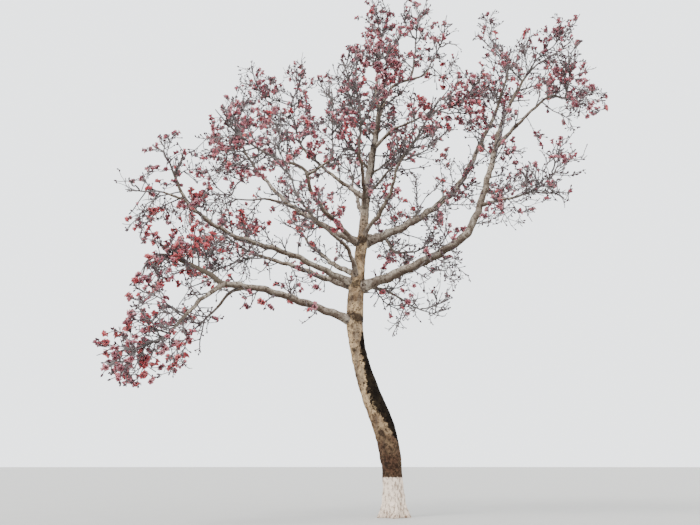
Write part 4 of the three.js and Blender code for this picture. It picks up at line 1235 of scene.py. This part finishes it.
def ringedSphere(name, segments, rings):  # each ring: way out, height, tilt and its growth both ways
    deselectAll()
    bpy.ops.mesh.primitive_uv_sphere_add(segments=segments, ring_count=blossomPieces["rings"], radius=1)
    piece = bpy.context.object
    piece.name = name
    bpy.ops.object.mode_set(mode="EDIT")
    bpy.ops.mesh.select_mode(type="VERT")
    aside = blossomPieces["aside"]  # finished rings are kept clear of the next ones
    for level, (out, height, tilt, wide, thick) in zip(blossomPieces["levels"], rings):
        selectLevel(piece, level)
        bpy.ops.transform.resize(value=(wide, thick, 1), center_override=(0, 0, level))
        bpy.ops.transform.rotate(value=math.radians(tilt), orient_axis="X", center_override=(0, 0, level))
        bpy.ops.transform.translate(value=(0, out, height - level + aside))
    bpy.ops.mesh.select_all(action="SELECT")
    bpy.ops.transform.translate(value=(0, 0, -aside))
    return piece


def petalRing(name):
    ringWidth, ringThick = blossomPieces["petalRing"]
    petal = ringedSphere(name, blossomPieces["petalSegments"], [
        (out, height, tilt, width / ringWidth, thick / ringThick)
        for out, height, tilt, width, thick in blossomPieces[name]])
    bpy.ops.mesh.normals_make_consistent(inside=False)
    turns = blossomPieces["petals"]
    bpy.ops.mesh.spin(steps=turns - 1, dupli=True, angle=2 * math.pi * (turns - 1) / turns,
                      center=(0, 0, 0), axis=(0, 0, 1))
    bpy.ops.object.mode_set(mode="OBJECT")
    return takeModel(petal)


def turnedShape(name):
    ringWidth = blossomPieces["turnedRing"]
    piece = ringedSphere(name, blossomPieces["turnedSegments"], [
        (0, height, 0, width / ringWidth, width / ringWidth) for height, width in blossomPieces[name]])
    bpy.ops.object.mode_set(mode="OBJECT")
    return takeModel(piece)


models = {name: petalRing(name) for name in ("open", "cupped")}
models.update({name: turnedShape(name) for name in ("calyx", "stamens", "bud")})
print("models", {name: len(model["sizes"]) for name, model in models.items()})

sprayRule = {
    "seed": 7, "bloom": 0.116, "lush": (0, 2.4), "sizes": (0.95, 1.3), "cuppedShare": 0.45,
    "mostCopies": 3200,
    # a tip bears up to three blossoms: the chance of each, how far it leans out and how far back it sits
    "chances": (1, 0.8, 0.6), "leans": (0.35, 1.1, 1.1), "spacing": 0.075, "furthestBack": 0.9,
    "forward": 0.9, "upward": 0.4, "slant": (0.31, 0.52, 0.8),
    "budShare": 0.31, "budSizes": (1.6, 2.6), "budPlaces": (0.25, 0.7), "budChance": 0.18, "budForward": 0.5,
    # how freely each mass flowers
    "bearing": {
        "twigs_right_drooping": 0.15, "twigs_right_low": 0.6, "twigs_leader_far_right": 0.5,
        "twigs_back_right": 0.6, "twigs_front_left": 0.7, "twigs_back": 0.7, "twigs_high_front": 0.9,
        "twigs_low_left": 2.0, "twigs_low_drooping": 1.8, "twigs_low_back": 0.8, "twigs_left": 1.2,
        "twigs_top_left": 1.5, "twigs_leader_left": 1.3, "twigs_top_front": 1.4, "twigs_leader_right": 1.3,
    },
    # where the bright coral blossoms stand: x, y, z and reach
    "coralSpots": ((-7.1, -1.5, 7.5, 2.3), (-8.4, -1.5, 6.1, 2.2), (-6.2, -1, 8.8, 1.3), (-8.1, -1, 9.2, 1.2),
                   (1.8, 0, 14.7, 1.3), (-1, -0.5, 13.8, 0.9), (-7.1, 0, 10.5, 1.1), (2.5, 3.5, 12.5, 1.6),
                   (-3.5, 4.2, 11.5, 1.4), (5.5, 2.5, 13, 1.2)),
    "coralFade": 0.7, "coralSize": 1.18, "deepAndShadedShare": 0.22, "toneSpread": 0.12,
}
petalKinds = ("coral", "rose", "deepAndShaded")


def stood(name, bases, ways, spins, sizes):  # a model's copies on their bases, facing their ways
    along = unit(ways)
    side = unit(np.cross(along, sprayRule["slant"]))
    across = np.cross(along, side)
    turned = side * np.cos(spins)[:, None] + across * np.sin(spins)[:, None]
    other = np.cross(along, turned)
    points = models[name]["points"]
    shape = points[:, :1] * turned[:, None] + points[:, 1:2] * other[:, None] + points[:, 2:] * along[:, None]
    return models[name], bases[:, None] + shape * sizes[:, None, None]


def aroundWays(ways):  # a random way square to each
    around = draw.normal(0, 1, ways.shape)
    return unit(around - ways * (around * ways).sum(1, keepdims=True))


def withSpurs(values):  # a carrier's value, for its spurs and then for the carriers themselves
    return np.array([values[twig["parent"]] for twig in spurs] + list(values))


draw = np.random.default_rng(sprayRule["seed"])
lush = withSpurs(draw.uniform(*sprayRule["lush"], len(carriers)))
bearers = [*spurs, *carriers]
tips = np.stack([twig["path"][-1] for twig in bearers])
before = np.stack([twig["path"][-2] for twig in bearers])
tone = withSpurs(draw.random(len(carriers)))
bearing = np.array([sprayRule["bearing"].get(homeNames[twig["home"]], 1) for twig in bearers])
bearing = bearing * densityAt(tips, "blossom")
blooming = draw.random(len(bearers)) < sprayRule["bloom"] * lush * bearing
ways = unit(tips - before)
stretch = np.linalg.norm(tips - before, axis=1)
bases, facings, tones = [], [], []
for order, (chance, lean) in enumerate(zip(sprayRule["chances"], sprayRule["leans"])):
    chosen = blooming & (draw.random(len(bearers)) < chance)
    way = ways[chosen]
    back = np.minimum(order * sprayRule["spacing"], sprayRule["furthestBack"] * stretch[chosen])
    bases.append(tips[chosen] - way * back[:, None])
    facings.append(way * sprayRule["forward"] + aroundWays(way) * lean + (0, 0, sprayRule["upward"]))
    tones.append(tone[chosen] + draw.normal(0, sprayRule["toneSpread"], len(way)))
bases, facings, tones = (np.concatenate(column) for column in (bases, facings, tones))
spins = draw.uniform(0, 2 * math.pi, len(bases))
sizes = draw.uniform(*sprayRule["sizes"], len(bases))
cupped = draw.random(len(bases)) < sprayRule["cuppedShare"]
coral = np.zeros(len(bases))
for x, y, z, reach in sprayRule["coralSpots"]:
    distance = np.linalg.norm(bases - (x, y, z), axis=1) / reach
    coral = np.maximum(coral, np.exp(-distance ** 2 * sprayRule["coralFade"]))
# A share of the blossoms, dealt at random, gets the darkest petals: partly older blossoms and partly painted
# shade for blossoms seen in shade.
kinds = np.where(tones < coral, "coral", np.where(tones > 1 - sprayRule["deepAndShadedShare"], "deepAndShaded", "rose"))
sizes[kinds == "coral"] *= sprayRule["coralSize"]
print("blossoms", len(bases), {kind: int((kinds == kind).sum()) for kind in petalKinds})


def blossomPiece(name, batches):
    piece = joinCopies(name, batches)
    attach(piece, "root")
    return piece


placing = (bases, facings, spins, sizes)
petalPieces = {}
for kind in petalKinds:
    chosen = np.flatnonzero(kinds == kind)
    petalPieces[kind] = []
    parts = np.array_split(chosen, math.ceil(len(chosen) / sprayRule["mostCopies"]))
    for number, part in enumerate(parts, 1):
        batches = [stood(shape, *(column[part[fits]] for column in placing))
                   for shape, fits in (("open", ~cupped[part]), ("cupped", cupped[part]))]
        petalPieces[kind].append(blossomPiece(f"{kind}Petals{number}", batches))
calyxes = blossomPiece("calyxes", [stood("calyx", *placing)])
stamens = blossomPiece("stamens", [stood("stamens", *placing)])

budded = ~blooming & (draw.random(len(bearers)) < sprayRule["budShare"])
budBases, budWays = [tips[budded]], [ways[budded]]
for share in sprayRule["budPlaces"]:
    chosen = draw.random(len(bearers)) < sprayRule["budChance"]
    budBases.append(tips[chosen] - (tips - before)[chosen] * share)
    budWays.append(ways[chosen] * sprayRule["budForward"] + aroundWays(ways[chosen]))
budBases, budWays = np.concatenate(budBases), np.concatenate(budWays)
budSizes = draw.uniform(*sprayRule["budSizes"], len(budBases))  # a bud's size serves as its spin too
buds = blossomPiece("buds", [stood("bud", budBases, budWays, budSizes, budSizes)])
print("petals", [(piece.name, trianglesOf(piece)) for kind in petalPieces.values() for piece in kind],
      "calyxes", trianglesOf(calyxes), "stamens", trianglesOf(stamens), "buds", trianglesOf(buds))


class Wire:  # an output that can be used in sums
    def __init__(self, paint, socket):
        self.paint, self.socket = paint, socket

    def maths(self, operation, first, second):
        return self.paint.node("ShaderNodeMath", {"operation": operation}, {0: first, 1: second})

    def __add__(self, other):
        return self.maths("ADD", self, other)

    def __sub__(self, other):
        return self.maths("SUBTRACT", self, other)

    def __rsub__(self, other):
        return self.maths("SUBTRACT", other, self)

    def __mul__(self, other):
        return self.maths("MULTIPLY", self, other)

    __radd__, __rmul__ = __add__, __mul__


class Paint:
    def __init__(self, name):
        self.material = bpy.data.materials.new(name)
        self.material.use_nodes = True
        self.tree = self.material.node_tree
        self.shader = self.tree.nodes["Principled BSDF"]
        self.place = self.node("ShaderNodeTexCoord", output="Object")

    def node(self, kind, settings=(), inputs=(), output=0):
        made = self.tree.nodes.new(kind)
        for name, value in dict(settings).items():
            setattr(made, name, value)
        for name, value in dict(inputs).items():
            self.feed(made.inputs[name], value)
        return Wire(self, made.outputs[output])

    def feed(self, socket, value):
        if isinstance(value, Wire):
            self.tree.links.new(value.socket, socket)
        else:
            socket.default_value = value

    def finish(self, **looks):
        for name, value in looks.items():
            self.feed(self.shader.inputs[name.replace("_", " ")], value)
        return self.material

    def noise(self, scale, detail=3, rough=0.5, rise=None):
        return self.node("ShaderNodeTexNoise", inputs={
            "Vector": self.stretched(rise) if rise else self.place,
            "Scale": scale, "Detail": detail, "Roughness": rough})

    def stretched(self, rise):  # below 1 draws a pattern out upwards
        return self.node("ShaderNodeMapping", inputs={"Vector": self.place, "Scale": (1, 1, rise)})

    def step(self, value, low, high):  # eases from 0 at low to 1 at high
        return self.node("ShaderNodeMapRange", {"interpolation_type": "SMOOTHSTEP"}, {
            "Value": value, "From Min": low, "From Max": high, "To Min": 0, "To Max": 1})

    def fall(self, value, low, high):
        return 1 - self.step(value, low, high)

    def mix(self, share, low, high):
        return self.node("ShaderNodeMix", {"data_type": "RGBA"}, {0: share, 6: low, 7: high}, 2)

    def layer(self, skin, value, low, high, share, tone):  # tone over the skin, all of it past high
        return self.mix(self.step(value, low, high) * share, skin, tone)

    def blend(self, start, waves, weights):
        for wave, weight in weights.items():
            start = start + waves[wave] * weight
        return start

    def waves(self, settings):
        return {wave: self.noise(*setting) for wave, setting in settings.items()}

    def attribute(self, name):
        return self.node("ShaderNodeAttribute", {"attribute_name": name}, output="Fac")

    def bump(self, height, distance, strength=1):
        return self.node("ShaderNodeBump", inputs={
            "Height": height, "Distance": distance, "Strength": strength})


def colour(red, green, blue):  # 0 to 255 as on a screen
    linear = [part / 12.92 if part <= 0.04045 else ((part + 0.055) / 1.055) ** 2.4
              for part in (red / 255, green / 255, blue / 255)]
    return (*linear, 1)


barkColours = {
    "tan": colour(129, 105, 78), "pale": colour(191, 161, 121), "grey": colour(104, 94, 84),
    "brown": colour(62, 47, 38), "low": colour(73, 51, 40), "lowDark": colour(24, 15, 12),
    "soot": colour(7, 4, 4), "scarAndShade": colour(38, 29, 24), "lenticel": colour(46, 35, 28),
    "bough": colour(145, 132, 119), "boughPale": colour(177, 166, 151),
    "lime": colour(234, 214, 194), "limeWorn": colour(112, 88, 72),
}
barkLook = {
    "rough": 0.9, "shine": 0.05, "bump": 0.05,
    # noises: scale, detail, roughness, and for some how they are stretched upwards
    "waves": {"patches": (1.7, 4, 0.6), "streaks": (5.5, 5, 0.62, 0.3), "mottle": (5, 5, 0.72),
              "speckle": (9.5, 4, 0.75), "grain": (26, 6, 0.7), "flakes": (15, 4, 0.75, 0.4)},
    # layers over the bark: noise, where it begins and is full, share and colour
    "layers": (("streaks", 0.47, 0.6, 0.6, "grey"), ("mottle", 0.5, 0.6, 0.6, "brown"),
               ("speckle", 0.53, 0.6, 0.65, "brown"), ("grain", 0.52, 0.64, 0.4, "brown")),
    "lowLayers": (("speckle", 0.45, 0.52, 0.85, "lowDark"), ("grain", 0.5, 0.6, 0.6, "lowDark")),
    "patches": (0.42, 0.58), "relief": {"grain": 0.3, "speckle": 0.6, "mottle": 0.6, "streaks": 0.3},
    "dotScale": 7, "dotRise": 1.4, "dots": (0.16, 0.28), "dotCover": (0.42, 0.52),
    "dotShare": 0.85, "dotRelief": 0.3,
    "tanHeights": (9.5, 12), "tanShare": 0.9,
    "lowHeights": (3.4, 5.5), "lowEdge": {"patches": 1.6, "mottle": 1.6}, "lowShare": 0.92,
    # marks that an attribute places, scars and knots and painted shade: how noises break them up, where they
    # begin and are full, and their share
    "trunkScarsAndShade": ({"mottle": 0.8, "speckle": 1.2, "grain": 0.7}, 1.52, 2.02, 0.8),
    "boughJoinShade": ({"mottle": 1.2, "speckle": 0.6}, 1.35, 1.75, 0.8),
    "soot": ({"mottle": 0.9, "speckle": 0.9, "grain": 0.3}, 1.38, 1.6, 0.96),
    "limeTop": 1.22, "limeEdge": 0.02, "limeStreaks": 0.2, "limeSpeckle": 0.1,
    "flakes": (0.65, 0.7), "flakeSpeckle": 0.3, "flakeShare": 0.7,
    "soilHeights": (0.2, 0.6), "soilMottle": 0.5, "soilShare": 0.35,
    # painted shade on the boughs' undersides: where it fades in, how mottle breaks it up, and its share
    "under": (-0.7, 0.2), "underMottle": 1.2, "underShare": 0.8,
}


def barkPaint(name, ofTrunk):
    paint, look, tones = Paint(name), barkLook, barkColours
    waves = paint.waves(look["waves"])
    height = paint.node("ShaderNodeSeparateXYZ", inputs={0: paint.place}, output="Z")
    dots = paint.node("ShaderNodeTexVoronoi", {"feature": "F1"}, {
        "Vector": paint.stretched(look["dotRise"]), "Scale": look["dotScale"], "Randomness": 1})

    def layered(skin, rows):
        for wave, low, high, share, tone in rows:
            skin = paint.layer(skin, waves[wave], low, high, share, tones[tone])
        return skin

    def marked(skin, marks, placed, tone):
        weights, low, high, share = look[marks]
        return paint.layer(skin, paint.blend(placed, waves, weights), low, high, share, tone)

    skin = paint.layer(tones["bough"], waves["patches"], *look["patches"], 1, tones["boughPale"])
    if ofTrunk:
        lower = paint.layer(tones["tan"], waves["patches"], *look["patches"], 1, tones["pale"])
        below = paint.fall(height + waves["patches"], *look["tanHeights"])
        skin = paint.mix(below * look["tanShare"], skin, lower)
    skin = layered(skin, look["layers"])
    lenticels = paint.fall(dots, *look["dots"]) * paint.step(waves["speckle"], *look["dotCover"])
    skin = paint.mix(lenticels * look["dotShare"], skin, tones["lenticel"])
    relief = paint.blend(0, waves, look["relief"]) - lenticels * look["dotRelief"]
    # These marks hold the trunk's real scars and knots, and painted shade: a dark band down the trunk's upper
    # right side and the darkened collars of the boughs.
    scarAndShade = paint.attribute("scarAndShade")
    if ofTrunk:
        lowBark = layered(tones["low"], look["lowLayers"])
        below = paint.fall(paint.blend(height, waves, look["lowEdge"]), *look["lowHeights"])
        skin = paint.mix(below * look["lowShare"], skin, lowBark)
        skin = marked(skin, "trunkScarsAndShade", scarAndShade, tones["scarAndShade"])
        skin = marked(skin, "soot", paint.attribute("soot"), tones["soot"])
        edge = height + (waves["streaks"] - 0.5) * look["limeStreaks"]
        edge = edge + (waves["speckle"] - 0.5) * look["limeSpeckle"]
        limed = paint.fall(edge, look["limeTop"] - look["limeEdge"], look["limeTop"] + look["limeEdge"])
        flaked = paint.step(waves["flakes"] + waves["speckle"] * look["flakeSpeckle"], *look["flakes"])
        soiled = paint.fall(height + waves["mottle"] * look["soilMottle"], *look["soilHeights"])
        worn = flaked * look["flakeShare"] + soiled * look["soilShare"]
        skin = paint.mix(limed, skin, paint.mix(worn, tones["lime"], tones["limeWorn"]))
    else:
        # Painted shade: bark that faces down is mixed towards dark brown so the boughs' undersides look
        # shaded, less so where a collar is already darkened.
        upward = paint.attribute("upward") * 2 - 1
        under = paint.fall(upward + (waves["mottle"] - 0.5) * look["underMottle"], *look["under"])
        skin = paint.mix(under * (look["underShare"] - scarAndShade), skin, tones["brown"])
        # painted shade at the collars where the boughs join their parents
        skin = marked(skin, "boughJoinShade", scarAndShade, tones["scarAndShade"])
    return paint.finish(Base_Color=skin, Roughness=look["rough"], Specular_IOR_Level=look["shine"],
                        Normal=paint.bump(relief, look["bump"]))


twigLook = {
    "old": colour(116, 109, 107), "dark": colour(76, 71, 70), "young": colour(139, 131, 131),
    "waves": {"patches": (2.3, 3, 0.6), "grain": (40, 4, 0.6)}, "patches": (0.4, 0.62),
    "slender": (0.62, 0.78), "youngGrain": (0.35, 0.55), "youngShare": 0.7,  # where the bark looks young
    "thick": (0.1, 0.5), "limbGrain": (0.45, 0.65), "limbShare": 0.7,  # and where it looks like a limb's
    "rough": 0.86, "bump": (0.006, 0.7),
}


def twigPaint(name):
    paint, look = Paint(name), twigLook
    slender = paint.attribute("slender")
    waves = paint.waves(look["waves"])
    skin = paint.layer(look["dark"], waves["patches"], *look["patches"], 1, look["old"])
    young = paint.step(slender, *look["slender"]) * paint.step(waves["grain"], *look["youngGrain"])
    skin = paint.mix(young * look["youngShare"], skin, look["young"])
    limb = paint.layer(barkColours["grey"], waves["grain"], *look["limbGrain"], look["limbShare"],
                       barkColours["brown"])
    skin = paint.mix(paint.fall(slender, *look["thick"]), skin, limb)
    return paint.finish(Base_Color=skin, Roughness=look["rough"], Specular_IOR_Level=barkLook["shine"],
                        Normal=paint.bump(waves["grain"], *look["bump"]))


# Petals: main, light and dark colour of each kind, and what they share.
petalLooks = {
    "coral": (colour(190, 58, 68), colour(212, 104, 104), colour(112, 26, 38)),
    "rose": (colour(186, 90, 104), colour(214, 144, 150), colour(108, 38, 52)),
    # darkest kind: partly older blossoms, partly painted shade
    "deepAndShaded": (colour(136, 56, 72), colour(170, 96, 108), colour(80, 28, 40)),
}
petalSkin = {
    "waves": {"patches": (3.1, 2), "grain": (34, 3, 0.6)}, "patches": (0.42, 0.62), "grain": (0.49, 0.63),
    "grainShare": 0.65, "rough": 0.42, "rougher": 0.2, "roughGrain": (0.4, 0.7), "sheen": 0.25,
    "bump": (0.004, 0.6),
}


def petalPaint(name, main, light, dark):
    paint, look = Paint(name), petalSkin
    waves = paint.waves(look["waves"])
    skin = paint.layer(main, waves["patches"], *look["patches"], 1, light)
    skin = paint.layer(skin, waves["grain"], *look["grain"], look["grainShare"], dark)
    rough = look["rough"] + paint.step(waves["grain"], *look["roughGrain"]) * look["rougher"]
    return paint.finish(Base_Color=skin, Roughness=rough, Sheen_Weight=look["sheen"],
                        Normal=paint.bump(waves["grain"], *look["bump"]))


# Calyxes, stamens and buds: main and dark colour, the scale of the grain and the roughness.
plainLooks = {
    "calyxSkin": (colour(70, 40, 40), colour(44, 25, 28), 45, 0.6),
    "stamenTuft": (colour(136, 44, 54), colour(66, 24, 32), 90, 0.7),
    "budSkin": (colour(66, 36, 43), colour(38, 21, 27), 50, 0.62),
}
plainGrain = {"noise": (4, 0.6), "edges": (0.42, 0.66), "bump": (0.004, 0.6)}


def plainPaint(name):
    paint = Paint(name)
    main, dark, scale, rough = plainLooks[name]
    grain = paint.noise(scale, *plainGrain["noise"])
    skin = paint.layer(main, grain, *plainGrain["edges"], 1, dark)
    return paint.finish(Base_Color=skin, Roughness=rough, Normal=paint.bump(grain, *plainGrain["bump"]))


def dress(pieces, material):
    for piece in pieces:
        piece.data.materials.clear()
        piece.data.materials.append(material)


dress([trunkBark], barkPaint("trunkBarkPaint", True))
dress([boughBark], barkPaint("boughBarkPaint", False))
dress(twigPieces, twigPaint("twigBark"))
for kind, pieces in petalPieces.items():
    dress(pieces, petalPaint(kind + "Petal", *petalLooks[kind]))
for piece, name in zip((calyxes, stamens, buds), plainLooks):
    dress([piece], plainPaint(name))
print("painted")

# Plain pale ground, an overcast sky and one very soft light.
studio = {
    "floor": colour(164, 162, 158), "floorRadius": 700, "floorCorners": 96, "floorRough": 0.9,
    "grain": colour(154, 152, 148), "grainNoise": (0.8, 4), "grainEdges": (0.3, 0.7), "grainShare": 0.2,
    "sky": colour(242, 246, 249), "skyStrength": 3.0,
    "lightBearing": 212, "lightHeight": 50, "lightStrength": 3.2, "lightWidth": 20,
}
deselectAll()
bpy.ops.mesh.primitive_circle_add(
    vertices=studio["floorCorners"], radius=studio["floorRadius"], fill_type="NGON")
floor = bpy.context.object
floor.name = "floor"
floorPaint = Paint("paleFloor")
floorSkin = floorPaint.layer(studio["floor"], floorPaint.noise(*studio["grainNoise"]),
                             *studio["grainEdges"], studio["grainShare"], studio["grain"])
dress([floor], floorPaint.finish(Base_Color=floorSkin, Roughness=studio["floorRough"]))
floor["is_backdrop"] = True
bpy.ops.object.light_add(type="SUN", rotation=(
    math.radians(90 - studio["lightHeight"]), 0, math.radians(studio["lightBearing"] + 90)))
sun = bpy.context.object.data
sun.energy, sun.angle = studio["lightStrength"], math.radians(studio["lightWidth"])
world = bpy.data.worlds.new("overcast")
bpy.context.scene.world = world
world.use_nodes = True
background = world.node_tree.nodes["Background"].inputs
background["Color"].default_value = studio["sky"]
background["Strength"].default_value = studio["skyStrength"]
print("floor and light placed")

sizes = {"cad": [[float(value) for value in corner] for corner in cadBox],
         "visual": [[float(value) for value in corner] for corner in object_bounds()]}
print("sizes", sizes)
